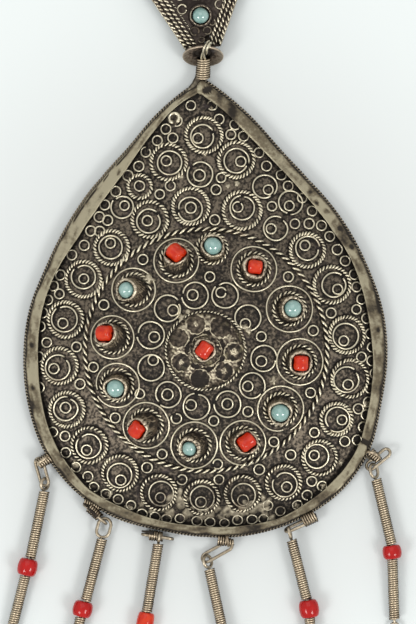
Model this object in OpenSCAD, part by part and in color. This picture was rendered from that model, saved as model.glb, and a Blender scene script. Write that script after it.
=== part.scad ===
// Silver filigree fibula brooch with a teardrop pendant and six dangles.
// It lies face up: +Z points out of its face, +Y along its length towards the head.
// The origin is on the plaque's back, under the middle of its boss. Millimetres.

/* [Plaque] */
// Size of the teardrop plaque against the real one
plaque_size = 1; // [0.99:0.005:1.01]
// Height of the rim over the back
rim_h = 3.6; // [3.4:0.1:3.8]
// Thickness of the rim's wall
wall_t = 0.9; // [0.7:0.1:1]
// Thickness of the rim's flange
flange_t = 0.9; // [0.7:0.1:1]
// Width of the flange, seen from the front
flange_w = 2.9; // [2.6:0.1:3.1]
// How far the milled wire stands out of the wall
milled_w = 0.6; // [0.4:0.1:0.6]
// Thickness of the back sheet
back_t = 0.7; // [0.5:0.1:0.8]
// Thickness of the domed front sheet
sheet_t = 0.8; // [0.6:0.1:0.8]
// Rise of the dome over its flat margin
dome_rise = 10.6; // [9:0.1:11]

/* [Filigree] */
// Radius of the big rope circle
circle_r = 30.4; // [30:0.1:30.8]
// Thickness of the big rope
circle_rope = 1.2; // [1:0.1:1.3]
// Thickness of the medallions' rope
medal_wire = 1; // [0.8:0.1:1.1]
// Thickness of the medallions' plain wire
plain_wire = 0.8; // [0.6:0.1:0.9]
// Radius of the boss, inside its rope
boss_r = 9.3; // [9:0.1:9.5]
// Height of the boss
boss_h = 4; // [3.5:0.1:4.3]
// Outer radius of a stone's collar
collar_r = 2.95; // [2.9:0.05:3]
// Height of a collar over the dome
collar_h = 3.3; // [3:0.1:3.5]

/* [Dangles] */
// Outer diameter of the wound tubes
tube_d = 2.65; // [2.5:0.05:2.7]
// Diameter of the core wires and links
wire_d = 0.8; // [0.7:0.1:0.8]
// Diameter of the holes in the tubes
hole_d = 1.3; // [1.2:0.1:1.4]

/* [Head] */
// Height of the triangular head
head_h = 44; // [42:1:46]
// Width of its truncated tip
head_tip_w = 9; // [8.6:0.1:9.4]
// Angle of each side against the head's axis
head_angle = 26.7; // [26:0.1:27.5]
// How far the head leans to the left
head_lean = 7; // [6:0.5:8]
// Height of the head's back over the surface it lies on
head_z = 3.3; // [3.2:0.1:3.4]
// Thickness of the head's sheet
head_t = 1; // [0.9:0.1:1.1]

/* [Hidden] */
$fn = 48;
gap = 0.12;
silver = [0.66, 0.63, 0.56];
dark_silver = [0.3, 0.27, 0.24];
bronze = [0.47, 0.39, 0.33];
coral_red = [0.84, 0.22, 0.12];
turquoise_blue = [0.55, 0.76, 0.74];
glass_red = [0.78, 0.1, 0.1];

// The rim's outer edge, seen from the middle of the round end: angle, radius
outline_mid = [0, -2];
OUTLINE_RIGHT = [
    [-90, 44.9], [-75, 45.9], [-60, 46.8], [-45, 47.6], [-30, 47.2], [-15, 45.5], [0, 45.5],
    [15, 46], [30, 46.7], [45, 48.7], [60, 51.6], [70, 55.4], [80, 62], [90.7, 70.4]
];
OUTLINE_LEFT = [
    [90.7, 70.4], [100, 63.4], [110, 56.5], [120, 52.4], [135, 48.6], [150, 46.3], [165, 46],
    [180, 45.8], [195, 46.2], [210, 46.9], [225, 46.9], [240, 46.2], [255, 44.8], [270, 44.9]
];
apex_angle = 90.7;
EDGE_STEP = 5;
edge_angles = [
    for (a = [-90:EDGE_STEP:85]) a,
    apex_angle,
    for (a = [95:EDGE_STEP:265]) a
];

// A smooth curve through four values, at t between the middle two
function curve(p, t) =
    0.5 * (2 * p[1] + (p[2] - p[0]) * t + (2 * p[0] - 5 * p[1] + 4 * p[2] - p[3]) * t * t
        + (3 * p[1] - p[0] - 3 * p[2] + p[3]) * t * t * t);

// The row of a table whose stretch holds the angle a
function row_at(table, a, i = 0) =
    i >= len(table) - 2 || a <= table[i + 1][0] ? i : row_at(table, a, i + 1);

// The radius at a row, run on in a straight line past the table's ends
function radius_at(table, i) =
    i < 0 ? 2 * table[0][1] - table[1][1]
    : i > len(table) - 1 ? 2 * table[i - 1][1] - table[i - 2][1]
    : table[i][1];

function table_radius(table, a) =
    let (
        i = row_at(table, a),
        t = (a - table[i][0]) / (table[i + 1][0] - table[i][0])
    )
    curve([for (k = [-1:2]) radius_at(table, i + k)], t);

function edge_radius(a) =
    plaque_size * (a <= apex_angle ? table_radius(OUTLINE_RIGHT, a) : table_radius(OUTLINE_LEFT, a));

function turn(a) = [cos(a), sin(a)];
function unit(v) = v / norm(v);

// How much longer a polar radius has to be shortened near the apex for an even inset
apex_half = 9;
function apex_share(a) = max(0, 1 - abs(a - apex_angle) / apex_half);
function inset_radius(a, inset) = edge_radius(a) - inset * (1.04 + 0.55 * apex_share(a));
function outline(inset) =
    [for (a = edge_angles) outline_mid + inset_radius(a, inset) * turn(a)];

// Heights of the plaque's sheets
margin_z = rim_h - flange_t - 0.95;
flange_inset = milled_w + flange_w;
sheet_inset = milled_w + wall_t + 0.2;

// The dome: a share q of 0 is its middle and 1 its foot at the flange's inner edge.
// Its level lines are the outline, rounder at the apex the higher they lie.
dome_curve = 0.55;
apex_round = 0.25;
apex_width = 24;
function dome_foot(a) = inset_radius(a, flange_inset - 0.3);
function dome_radius(a, q) =
    q * dome_foot(a) * (1 - apex_round * (1 - pow(q, 3)) * max(0, 1 - abs(a - apex_angle) / apex_width));
function dome_profile(q) =
    let (flat = sqrt(1 - dome_curve * dome_curve))
    q >= 1 ? 0 : (sqrt(1 - pow(dome_curve * q, 2)) - flat) / (1 - flat);
function angle_of(v) = let (a = atan2(v[1], v[0])) a < -90 ? a + 360 : a;
function share_of(a, r, q, n) =
    n == 0 ? q : share_of(a, r, r / (dome_radius(a, max(q, 0.01)) / max(q, 0.01)), n - 1);
function field_z(p) =
    let (
        v = [p[0], p[1]] - outline_mid,
        a = angle_of(v),
        q = share_of(a, norm(v), norm(v) / dome_foot(a), 8)
    )
    margin_z + dome_rise * dome_profile(q);
function on_field(p, up = 0) = [p[0], p[1], field_z(p) + up];
function field_normal(p) =
    let (
        d = 0.6,
        sx = (field_z([p[0] + d, p[1]]) - field_z([p[0] - d, p[1]])) / (2 * d),
        sy = (field_z([p[0], p[1] + d]) - field_z([p[0], p[1] - d])) / (2 * d)
    )
    unit([-sx, -sy, 1]);

// The twelve stones: kind, stone x, y, its size, its turn, base ring x, y, radius of the ring
STONES = [
    ["turquoise", 1.8, 26, 4.2, 0, 1.5, 25.3, 4.4],
    ["coral", 12.2, 20.8, 3.5, 10, 11.9, 20.1, 5.9],
    ["turquoise", 21.7, 10.4, 4.3, 0, 20.8, 10.3, 6],
    ["coral", 23.6, -3.3, 3.7, 90, 23.3, -2.9, 6],
    ["turquoise", 18.5, -15.8, 4.4, 0, 18.5, -14.8, 6],
    ["coral", 10.1, -23, 3.7, 40, 9.2, -23.1, 5.8],
    ["turquoise", -4.3, -24.6, 3.6, 0, -3, -23.7, 6],
    ["coral", -17.1, -19.8, 3.8, 40, -14.9, -18.8, 5.9],
    ["turquoise", -22.6, -9.6, 4.3, 0, -22.1, -8.8, 5.8],
    ["coral", -25.1, 4.1, 4, 5, -23.2, 3.2, 5.6],
    ["turquoise", -20, 15, 4, 0, -18, 15, 5.6],
    ["coral", -7.5, 24.1, 3.8, 50, -7.4, 22.3, 5.8]
];
stone_sink = 0.35;
seat_depth = 2;

// The outer medallions: x, y, radius of the ring
MEDALLIONS = [
    [-0.5, 53.7, 4.8], [-9.4, 46.9, 4.8], [7.5, 47.5, 4.8], [-1.5, 43.9, 3.4], [-3.8, 35.8, 4.9],
    [8.9, 34.8, 5], [14.7, 40.8, 3.3], [-16.5, 40.8, 3.4], [-20.9, 35.7, 3.1], [-13.9, 32.5, 4.8],
    [-23.5, 25.5, 4.6], [-30.5, 17.6, 4.8], [-35, 7.6, 4.8], [-36.5, -4, 4.8], [-34.7, -14.9, 4.7],
    [-29.1, -23.8, 4.8], [-21.4, -30.7, 4.7], [-11.8, -35.5, 4.7], [-1, -36.8, 4.6],
    [9.1, -35.8, 4.7], [19.4, -33, 4.6], [28.3, -26.9, 4.6], [32.5, -17.3, 4.4], [35.9, -7.1, 5],
    [35.1, 3.8, 4.8], [31.3, 16.3, 4.9], [25.2, 24.9, 4.6], [17.4, 30.3, 3.3], [21.1, 36.8, 3.3]
];
// The plain medallions round the boss: x, y, radius of the ring
INNER_MEDALLIONS = [
    [-2.8, 13.6, 3.4], [4.8, 13.7, 3.3], [-9.5, 10.4, 3.4], [-13.8, 3.8, 3.5], [-13.6, -4.4, 3.3],
    [-9.4, -11.1, 3.3], [-2.4, -14, 3.4], [5.3, -13.4, 3.4], [11.5, -8.9, 3.3], [14.4, -2.1, 3.3],
    [10.4, 8, 3.3]
];
// The cast rings on the boss: x, y
BOSS_RINGS = [[-2.8, 7], [4, 6], [7.3, -0.5], [4.5, -5.3], [-1.5, -7.3], [-6.5, -2.8], [-7, 3.3]];
boss_base_z = field_z([0, 0]) - 0.3;
function boss_z(r) = boss_base_z + boss_h * sqrt(max(0, 1 - pow(r / (boss_r + 0.6), 2)));

// The wire eyelets on the rim, one a dangle: x, y, z, radius, heading, roll
EYELETS = [
    [-40.75, -27.7, 2.9, 1.6, 38, 84],
    [-30.3, -38.6, 2, 1.6, 50, 0],
    [-15.7, -45.5, 2, 1.8, 70, 0],
    [5.4, -47.7, 1.9, 1.4, 100, 90],
    [27, -41.4, 1.9, 1.8, 120, 5],
    [41.7, -26.6, 2.3, 1.9, 155, 115]
];
// The long links: both tips, half width of the wire's centre line, roll
LINKS = [
    [[-42.2, -26.8, 1.9], [-40, -34.4, 1.9], 1.2, 35],
    [[-30.8, -38.5, 2], [-24.8, -43.7, 2], 1.1, 90],
    [[-16.3, -46.1, 2], [-8, -47.4, 2], 1.1, 90],
    [[6.8, -48.3, 2.4], [-1.2, -52.8, 1.8], 1.3, 35],
    [[27.8, -41.8, 2], [19.6, -45.5, 2.1], 1.1, 65],
    [[46.2, -24.9, 2.4], [40.1, -29.9, 1.8], 1.1, 25]
];
// The loops at the tops of the core wires: middle of the upper bend, radius, straight part, roll
LOOPS = [
    [[-40.4, -33.6, 1.9], 1.4, 0, -50],
    [[-25.4, -43.8, 2], 1.6, 1.6, 0],
    [[-11.7, -47, 3.1], 1.1, 0, 90],
    [[0.4, -53, 2.2], 1.5, 0, 130],
    [[20.9, -45.5, 3.1], 1.1, 0.6, 95],
    [[42, -30, 2.2], 1.4, 0.6, -50]
];
// The dangles' beads: kind, middle, end of the lower tube, diameter, length
BEADS = [
    ["glass", [-44.7, -54.4, 2.6], [-49.2, -72, 1.4], 5, 4.2],
    ["glass", [-30.9, -64.9, 2.6], [-35, -82, 1.4], 5, 3.9],
    ["barrel", [-15.3, -68.5, 2.3], [-19, -87.5, 1.4], 4.3, 5.6],
    ["glass", [5.1, -74.4, 2.6], [8.5, -93, 1.4], 5, 4.1],
    ["glass", [25.8, -64.8, 2.6], [27, -83, 1.4], 5, 4.4],
    ["glass", [46.6, -50.6, 2.6], [47.2, -67.5, 1.4], 4.8, 3.4]
];

// Puts its children at a place, with their X along d and their Y rolled about it from level
module aim(place, d, roll = 0) {
    x = unit(d);
    level = cross([0, 0, 1], x);
    side = norm(level) < 1e-6 ? [1, 0, 0] : unit(level);
    up = cross(x, side);
    y = cos(roll) * side + sin(roll) * up;
    z = cross(x, y);
    multmatrix([
        [x[0], y[0], z[0], place[0]],
        [x[1], y[1], z[1], place[1]],
        [x[2], y[2], z[2], place[2]]
    ]) children();
}

// Turns its children's +Z onto a direction
module stand(place, d) {
    aim(place, d) rotate([0, 90, 0]) children();
}

// A round rod between two points
module rod(from, to, r) {
    stand(from, to - from) cylinder(r = r, h = norm(to - from));
}

// A wire bent to a closed ring with two straight sides along X, its first bend's middle at 0
module wire_ring(radius, straight, wire) {
    if (straight == 0) rotate_extrude() translate([radius, 0]) circle(d = wire);
    else {
        rotate(90) rotate_extrude(angle = 180) translate([radius, 0]) circle(d = wire);
        translate([straight, 0]) rotate(-90)
            rotate_extrude(angle = 180) translate([radius, 0]) circle(d = wire);
        for (side = [-1, 1])
            translate([0, side * radius]) rotate([0, 90, 0]) cylinder(d = wire, h = straight);
    }
}

// Head of the fibula
head_foot = [-0.75, 75.5];
head_top_w = head_tip_w + 2 * head_h * tan(head_angle);
rope_h = 0.8;
rope_rows = 3;
rope_pitch = 1.15;
tip_hole = [1.5, 1.95];
HEAD_STONES = [
    ["turquoise", 0.4, 8.1, 4], ["turquoise", -18.2, 38.6, 4], ["turquoise", 18.2, 38.6, 4],
    ["coral", 0, 27, 4]
];
module in_head() {
    translate([head_foot[0], head_foot[1], head_z]) rotate(head_lean) children();
}
function head_half(y) = head_tip_w / 2 + y * tan(head_angle);
function head_outline(inset) = [
    [-head_half(0) + inset / cos(head_angle), 0],
    [head_half(0) - inset / cos(head_angle), 0],
    [head_half(head_h - inset) - inset / cos(head_angle), head_h - inset],
    [-head_half(head_h - inset) + inset / cos(head_angle), head_h - inset]
];

// A collar for a stone: its foot, its top and its radius
module collar(foot, top, r, seat_r) {
    stand(foot, top - foot) difference() {
        cylinder(r1 = r + 0.25, r2 = r, h = norm(top - foot));
        translate([0, 0, norm(top - foot) - seat_depth]) cylinder(r = seat_r, h = seat_depth + 1);
    }
}

module head_plate() {
    color(dark_silver) in_head() difference() {
        union() {
            linear_extrude(head_t) polygon(head_outline(0));
            for (side = [-1, 1], row = [0:rope_rows - 1])
                let (
                    inset = (0.65 + row * rope_pitch) / cos(head_angle),
                    low = [side * (head_half(2.4) - inset), 2.4, head_t + 0.1],
                    high = [side * (head_half(head_h - 0.7) - inset), head_h - 0.7, head_t + 0.1]
                )
                rod(low, high, rope_h / 2 + 0.05);
            for (row = [0:rope_rows - 1])
                let (y = head_h - 0.75 - row * rope_pitch, half = head_half(y) - 2.5)
                rod([-half, y, head_t + 0.1], [half, y, head_t + 0.1], rope_h / 2 + 0.05);
            for (s = HEAD_STONES)
                collar([s[1], s[2], head_t - 0.3], [s[1], s[2], head_t + 2.4], 2.9, s[3] / 2 + 0.35);
            for (y = [pin_foot_y, pin_catch_y])
                translate([-lug_w / 2, y - lug_l / 2, -lug_drop]) cube([lug_w, lug_l, lug_drop + 0.2]);
        }
        translate([tip_hole[0], tip_hole[1], -1]) cylinder(r = 1.15, h = head_t + 2);
        translate([0, pin_foot_y, -pin_drop]) rotate([-90, 0, 0])
            translate([0, 0, -lug_l]) cylinder(r = pin_r + gap, h = 2 * lug_l);
        translate([0, pin_catch_y, -pin_drop]) rotate([-90, 0, 0])
            translate([0, 0, -lug_l]) cylinder(r = pin_r + gap, h = 2 * lug_l);
        translate([0, pin_catch_y - lug_l, -pin_drop - pin_r - gap])
            cube([lug_w, 2 * lug_l, 2 * (pin_r + gap)]);
    }
}

// The pin behind the head: a straight rod with a head at its hinge end and a point
pin_r = 0.75;
pin_drop = 1.75;
pin_foot_y = 37;
pin_catch_y = 11;
pin_point = 4;
lug_w = 4;
lug_l = 3;
lug_drop = 3;
module back_pin() {
    shank = pin_foot_y - pin_catch_y + lug_l;
    color(silver) in_head() translate([0, pin_foot_y + lug_l / 2 + 1.2, -pin_drop]) rotate([90, 0, 0]) {
        cylinder(r = pin_r, h = shank);
        translate([0, 0, shank]) cylinder(r1 = pin_r, r2 = 0.15, h = pin_point);
        cylinder(r = pin_r + 0.55, h = 1);
    }
}

// A stone, its seat at z 0: a domed turquoise, or a coral barrel that lies on its side
module cabochon(d) {
    color(turquoise_blue) rotate_extrude() intersection() {
        translate([0, d * 0.06]) circle(d = d * 1.02);
        translate([0, -d * 0.3]) square([d / 2, d]);
    }
}
module coral_barrel(d, turned) {
    color(coral_red) intersection() {
        rotate(turned) rotate([0, 90, 0]) cylinder(d = d, h = d * 1.12, center = true);
        sphere(d = d * 1.34);
    }
}
module stone_at(place, d, kind, size, turned) {
    stand(place, d) {
        if (kind == "coral") coral_barrel(size, turned);
        else cabochon(size);
    }
}
function stone_foot(s) = on_field([s[5], s[6]], -0.3);
function stone_top(s) =
    let (up = on_field([s[5], s[6]]))
    [s[1], s[2], up[2] + collar_h];
function stone_size(s) = s[0] == "coral" ? s[3] * 1.04 : s[3];
function seat_radius(s) =
    s[0] == "coral" ? min(collar_r - 0.15, stone_size(s) * 0.67 + gap) : s[3] / 2 + gap + 0.1;

module head_stone(i) {
    s = HEAD_STONES[i];
    in_head() stone_at([s[1], s[2], head_t + 2.4 + (s[0] == "coral" ? 0.5 : -0.2)], [0, 0, 1],
        s[0], s[3], 20);
}
module stone(i) {
    s = STONES[i];
    foot = stone_foot(s);
    top = stone_top(s);
    up = unit(top - foot);
    stone_at(top + (s[0] == "coral" ? 0.35 : -0.3) * up, up, s[0], stone_size(s), s[4]);
}
centre_at = [-0.4, 0];
centre_d = 4.7;
centre_collar_h = 1.3;
module centre_stone() {
    stone_at([centre_at[0], centre_at[1], boss_z(0) + centre_collar_h + 0.3], [0, 0, 1],
        "coral", centre_d, 55);
}

// The dished washer that hangs on the loop
disc_d = 10.3;
disc_at = [-0.75, 73.4, 4.8];
module collar_disc() {
    color(bronze) stand(disc_at, [0, 0.89, -0.45]) rotate_extrude()
        polygon([[2.35, 0.9], [3.2, 0.9], [disc_d / 2, -0.2], [disc_d / 2, 0.4], [3.4, 1.5], [2.35, 1.5]]);
}

// The wound stem with its doubled loop and the core that goes into the plaque's apex
stem_r = 1.85;
stem_low = [-0.78, 68.75, 2.6];
stem_high = [-0.6, 72.5, 4.1];
loop_half = 1.5;
loop_end = [0.55, 77.6, 4.25];
core_r = 0.75;
core_l = 2.6;
module hanger() {
    way = unit(stem_high - stem_low);
    color(silver) {
        rod(stem_low, stem_high, stem_r);
        rod(stem_low - core_l * way, stem_low + way, core_r);
        for (strand = [-1, 1]) translate([strand * 0.42, 0, 0])
            aim(stem_high - way, loop_end - stem_high + way, 90)
                wire_ring(loop_half, norm(loop_end - stem_high + way) - loop_half, wire_d * 0.95);
    }
}

// The rim: wall, flange and milled wire in one, with the eyelets on its edge
module rim_band() {
    way = unit(stem_high - stem_low);
    color(silver) difference() {
        union() {
            linear_extrude(rim_h) polygon(outline(milled_w));
            translate([0, 0, rim_h * 0.38]) linear_extrude(0.9) polygon(outline(0));
        }
        translate([0, 0, -1]) linear_extrude(rim_h + 2) polygon(outline(flange_inset));
        translate([0, 0, -1]) linear_extrude(rim_h - flange_t + 1) polygon(outline(milled_w + wall_t));
        rod(stem_low - 8 * way, stem_low + 3 * way, core_r + gap);
        rod(stem_low - 0.3 * way, stem_low + 6 * way, stem_r + gap);
    }
    color(silver) for (e = EYELETS)
        aim([e[0], e[1], e[2]], [cos(e[4]), sin(e[4]), 0], e[5]) wire_ring(e[3], 0, wire_d);
}

// The flat sheet at the back
module back_plate() {
    color(dark_silver) linear_extrude(back_t) polygon(outline(milled_w + wall_t + gap));
}

// A ring of soldered wire on the dome, its foot sunk into the sheet
ring_sink = 0.62;
module field_ring(middle, radius, wire, steps) {
    n = field_normal(middle);
    stand(on_field(middle), n) rotate_extrude($fn = steps) translate([radius, 0])
        polygon([[-wire / 2, -ring_sink], [wire / 2, -ring_sink], [0, wire * 0.6]]);
}

// The big rope circle, which follows the dome all round
module big_circle() {
    steps = 48;
    sides = 4;
    r = circle_rope / 2;
    points = [
        for (i = [0:steps - 1], k = [0:sides - 1])
        let (
            a = i * 360 / steps,
            b = k * 360 / sides + 90,
            ring = circle_r + r * cos(b)
        )
        [ring * cos(a), ring * sin(a), field_z(circle_r * turn(a)) + 0.2 + r * sin(b)]
    ];
    faces = [
        for (i = [0:steps - 1], k = [0:sides - 1])
        let (j = (i + 1) % steps, m = (k + 1) % sides)
        [i * sides + k, i * sides + m, j * sides + m, j * sides + k]
    ];
    polyhedron(points, faces, 4);
}

// The domed sheet: rings of points from the middle out, top and underside
DOME_SHARES = [0.12, 0.3, 0.48, 0.64, 0.78, 0.9, 1];
dome_angles = [for (a = [-90:10:80]) a, apex_angle, for (a = [100:10:260]) a];
module dome_sheet() {
    n = len(dome_angles);
    rings = len(DOME_SHARES) + 1;
    top = [
        for (q = DOME_SHARES, a = dome_angles)
            [each outline_mid + dome_radius(a, q) * turn(a), margin_z + dome_rise * dome_profile(q)],
        for (a = dome_angles) [each outline_mid + inset_radius(a, sheet_inset) * turn(a), margin_z]
    ];
    middle_top = [outline_mid[0], outline_mid[1], margin_z + dome_rise];
    drop = [0, 0, -sheet_t];
    points = [each top, middle_top, for (p = top) p + drop, middle_top + drop];
    under = n * rings + 1;
    faces = [
        for (r = [0:rings - 2], k = [0:n - 1])
            let (m = (k + 1) % n) [r * n + k, (r + 1) * n + k, (r + 1) * n + m, r * n + m],
        for (k = [0:n - 1]) [n * rings, k, (k + 1) % n],
        for (r = [0:rings - 2], k = [0:n - 1])
            let (m = (k + 1) % n)
            [under + r * n + m, under + (r + 1) * n + m, under + (r + 1) * n + k, under + r * n + k],
        for (k = [0:n - 1]) [under + n * rings, under + (k + 1) % n, under + k],
        for (k = [0:n - 1])
            let (m = (k + 1) % n, r = (rings - 1) * n)
            [r + m, r + k, under + r + k, under + r + m]
    ];
    polyhedron(points, [for (f = faces) [for (i = [len(f) - 1:-1:0]) f[i]]], 4);
}

// A setting on the dome: its leaning collar with the seat, and its base ring
module setting(s) {
    foot = stone_foot(s);
    top = stone_top(s);
    up = unit(top - foot);
    difference() {
        hull() {
            stand(foot - 0.1 * up, up) cylinder(r = collar_r + 0.15, h = 0.1, $fn = 14);
            stand(top - 0.1 * up, up) cylinder(r = collar_r, h = 0.1, $fn = 14);
        }
        stand(top - seat_depth * up, up) cylinder(r = seat_radius(s), h = seat_depth + 1, $fn = 14);
    }
    field_ring([s[5], s[6]], s[7] - 0.3, medal_wire, 14);
}

centre_seat_r = centre_d * 0.67 + gap;
module boss() {
    steps = 24;
    difference() {
        union() {
            translate([0, 0, boss_base_z]) rotate_extrude($fn = steps) polygon([
                [0, -0.4], [boss_r + 0.4, -0.4],
                for (r = [boss_r + 0.2, boss_r * 0.8, boss_r * 0.5, boss_r * 0.25])
                    [r, boss_z(r) - boss_base_z],
                [0, boss_h]
            ]);
            translate([centre_at[0], centre_at[1], boss_z(0) - 0.9])
                cylinder(r = centre_seat_r + 0.25, h = centre_collar_h + 0.9, $fn = 18);
        }
        translate([centre_at[0], centre_at[1], boss_z(0) + centre_collar_h - seat_depth - 0.3])
            cylinder(r = centre_seat_r, h = seat_depth + 2, $fn = 18);
    }
    field_ring([0, 0], boss_r + 0.8, circle_rope, 28);
    for (c = BOSS_RINGS)
        let (d = 0.3, r = norm(c), slope = (boss_z(r + d) - boss_z(r - d)) / (2 * d))
        stand([c[0], c[1], boss_z(r)], [-slope * c[0] / r, -slope * c[1] / r, 1])
            rotate_extrude($fn = 10) translate([1.7, 0]) circle(d = 1, $fn = 4);
}

module front_plate() {
    color(dark_silver) union() {
        dome_sheet();
        big_circle();
        boss();
        for (s = STONES) setting(s);
        for (m = MEDALLIONS) field_ring([m[0], m[1]], m[2] - medal_wire / 2, medal_wire, 12);
        for (m = INNER_MEDALLIONS) field_ring([m[0], m[1]], m[2] - 0.3, plain_wire, 10);
    }
}

// The dangles
function link_way(l) = unit(l[1] - l[0]);
module link(i) {
    l = LINKS[i];
    way = link_way(l);
    straight = norm(l[1] - l[0]) - wire_d - 2 * l[2];
    color(silver) aim(l[0] + (wire_d / 2 + l[2]) * way, way, l[3]) wire_ring(l[2], straight, wire_d);
}

function loop_way(i) = unit(BEADS[i][1] - LOOPS[i][0]);
function loop_foot(i) = LOOPS[i][0] + (LOOPS[i][1] + LOOPS[i][2]) * loop_way(i);
function tail_way(i) = unit(BEADS[i][2] - BEADS[i][1]);
eye_r = 1;
shank_r = 0.36;
module core_wire(i) {
    o = LOOPS[i];
    b = BEADS[i];
    color(silver) {
        aim(o[0], loop_way(i), o[3]) wire_ring(o[1], o[2], wire_d);
        rod(loop_foot(i), b[1], shank_r);
        translate(b[1]) sphere(d = wire_d);
        rod(b[1], b[2] + tail_way(i), shank_r);
        aim(b[2] + (1 + eye_r) * tail_way(i), tail_way(i), 0) wire_ring(eye_r, 0, wire_d);
    }
}

module tube(from, to) {
    color(silver) difference() {
        rod(from, to, tube_d / 2);
        rod(2 * from - to, 2 * to - from, hole_d / 2);
    }
}
bead_gap = 0.22;
module upper_tube(i) {
    way = loop_way(i);
    tube(loop_foot(i) + (wire_d / 2 + 0.15) * way, BEADS[i][1] - (BEADS[i][4] / 2 + bead_gap) * way);
}
module lower_tube(i) {
    way = tail_way(i);
    tube(BEADS[i][1] + (BEADS[i][4] / 2 + bead_gap) * way, BEADS[i][2]);
}
bead_bore_r = 0.75;
bead_steps = 8; // cones from the middle of the bow to its end
module bead(i) {
    b = BEADS[i];
    way = unit(loop_way(i) + tail_way(i));
    bow = b[4] * (b[0] == "glass" ? 0.58 : 0.8);
    bow_end = asin(b[4] / 2 / bow);
    color(b[0] == "glass" ? glass_red : coral_red)
        stand(b[1], way) rotate_extrude() polygon([
            [bead_bore_r, -b[4] / 2],
            for (k = [-bead_steps:bead_steps])
                [b[3] / 2 - bow + bow * cos(k * bow_end / bead_steps), bow * sin(k * bow_end / bead_steps)],
            [bead_bore_r, b[4] / 2]
        ]);
}

head_plate();
for (i = [1:4]) head_stone(i - 1);
back_pin();
collar_disc();
hanger();
rim_band();
front_plate();
back_plate();
for (i = [1:12]) stone(i - 1);
centre_stone();
for (i = [1:6]) {
    link(i - 1);
    core_wire(i - 1);
    upper_tube(i - 1);
    bead(i - 1);
    lower_tube(i - 1);
}
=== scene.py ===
# %% [markdown]
# # A silver filigree fibula with a teardrop pendant
# The brooch lies face up on a pale table. Its solids come packed from the CAD model, in metres, with
# +Z out of the face and +Y towards the head. This lesson dresses them: twisted wire, bezels, stones,
# wound tubes and glass beads, each set on the solid that carries it.

# %% The frame
import math
import bpy
import numpy as np
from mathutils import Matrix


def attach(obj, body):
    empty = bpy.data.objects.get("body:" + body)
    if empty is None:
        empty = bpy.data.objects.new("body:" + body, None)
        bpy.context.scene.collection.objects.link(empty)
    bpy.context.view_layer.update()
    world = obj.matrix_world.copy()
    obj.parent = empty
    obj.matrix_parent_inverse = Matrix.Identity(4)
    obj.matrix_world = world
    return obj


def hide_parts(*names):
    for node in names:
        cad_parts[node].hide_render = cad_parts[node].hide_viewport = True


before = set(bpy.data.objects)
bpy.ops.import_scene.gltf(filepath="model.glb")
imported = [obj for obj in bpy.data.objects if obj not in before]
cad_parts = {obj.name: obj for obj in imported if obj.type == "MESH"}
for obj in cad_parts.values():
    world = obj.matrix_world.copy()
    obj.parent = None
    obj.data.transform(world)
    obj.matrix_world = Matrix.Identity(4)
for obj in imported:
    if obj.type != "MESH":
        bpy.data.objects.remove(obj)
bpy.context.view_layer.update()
MM = 0.001
TURN = 2 * math.pi
UP = np.array([0.0, 0.0, 1.0])
dice = np.random.default_rng(12)

# %% [markdown]
# ## Camera and light
# The brooch is seen straight from above, 104 by 156 mm of it. A long lens from two metres keeps the
# parts near the edge from leaning. Two soft lamps stand left and right of the camera, a little below
# it, so each stone and bead gets its pair of small highlights. A wide one beyond the head fills in.

# %% Camera
camera_high = 2.0
face_high = 6 * MM
view_tall = 156 * MM
view_middle = (0.5 * MM, 9.5 * MM)
sensor = 36
camera = bpy.data.objects.new("camera", bpy.data.cameras.new("camera"))
camera.data.sensor_width = sensor
camera.data.lens = sensor * (camera_high - face_high) / view_tall
camera.location = (*view_middle, camera_high)
bpy.context.scene.collection.objects.link(camera)
bpy.context.scene.camera = camera
bpy.context.scene.view_settings.view_transform = "Standard"
print("lens: %.0f mm" % camera.data.lens)

# %% Lamps and room
AIM = np.array([0, 0.01, 0])


def lamp(name, place, size, power, colour):
    """A square soft lamp that faces the middle of the plaque."""
    light = bpy.data.lights.new(name, "AREA")
    light.size = size
    light.energy = power
    light.color = colour
    holder = bpy.data.objects.new(name, light)
    holder.location = place
    x, y, z = AIM - np.array(place)
    holder.rotation_euler = (math.atan2(math.hypot(x, y), -z), 0, math.atan2(y, x) - math.pi / 2)
    bpy.context.scene.collection.objects.link(holder)


for name, side in (("lamp_left", -1), ("lamp_right", 1)):
    lamp(name, (side * 0.67, -0.50, 0.88), 0.38, 5.0, (1, 0.985, 0.96))
lamp("lamp_top", (-0.15, 0.75, 1.3), 1.3, 3.5, (1, 0.99, 0.97))
room = bpy.data.worlds.new("room")
room.use_nodes = True
room_light = room.node_tree.nodes["Background"].inputs
room_light["Color"].default_value = (1.0, 0.985, 0.95, 1)
room_light["Strength"].default_value = 0.72
bpy.context.scene.world = room
print("lamps:", len(bpy.data.lights))

# %% [markdown]
# ## Writing materials as sums
# A finish is a recipe: how worn, how dirty, how rough. It reads best as arithmetic, so one small
# class wraps a socket. `1 - worn * 0.5` then adds its Math nodes by itself, and `node` makes any other.

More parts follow.
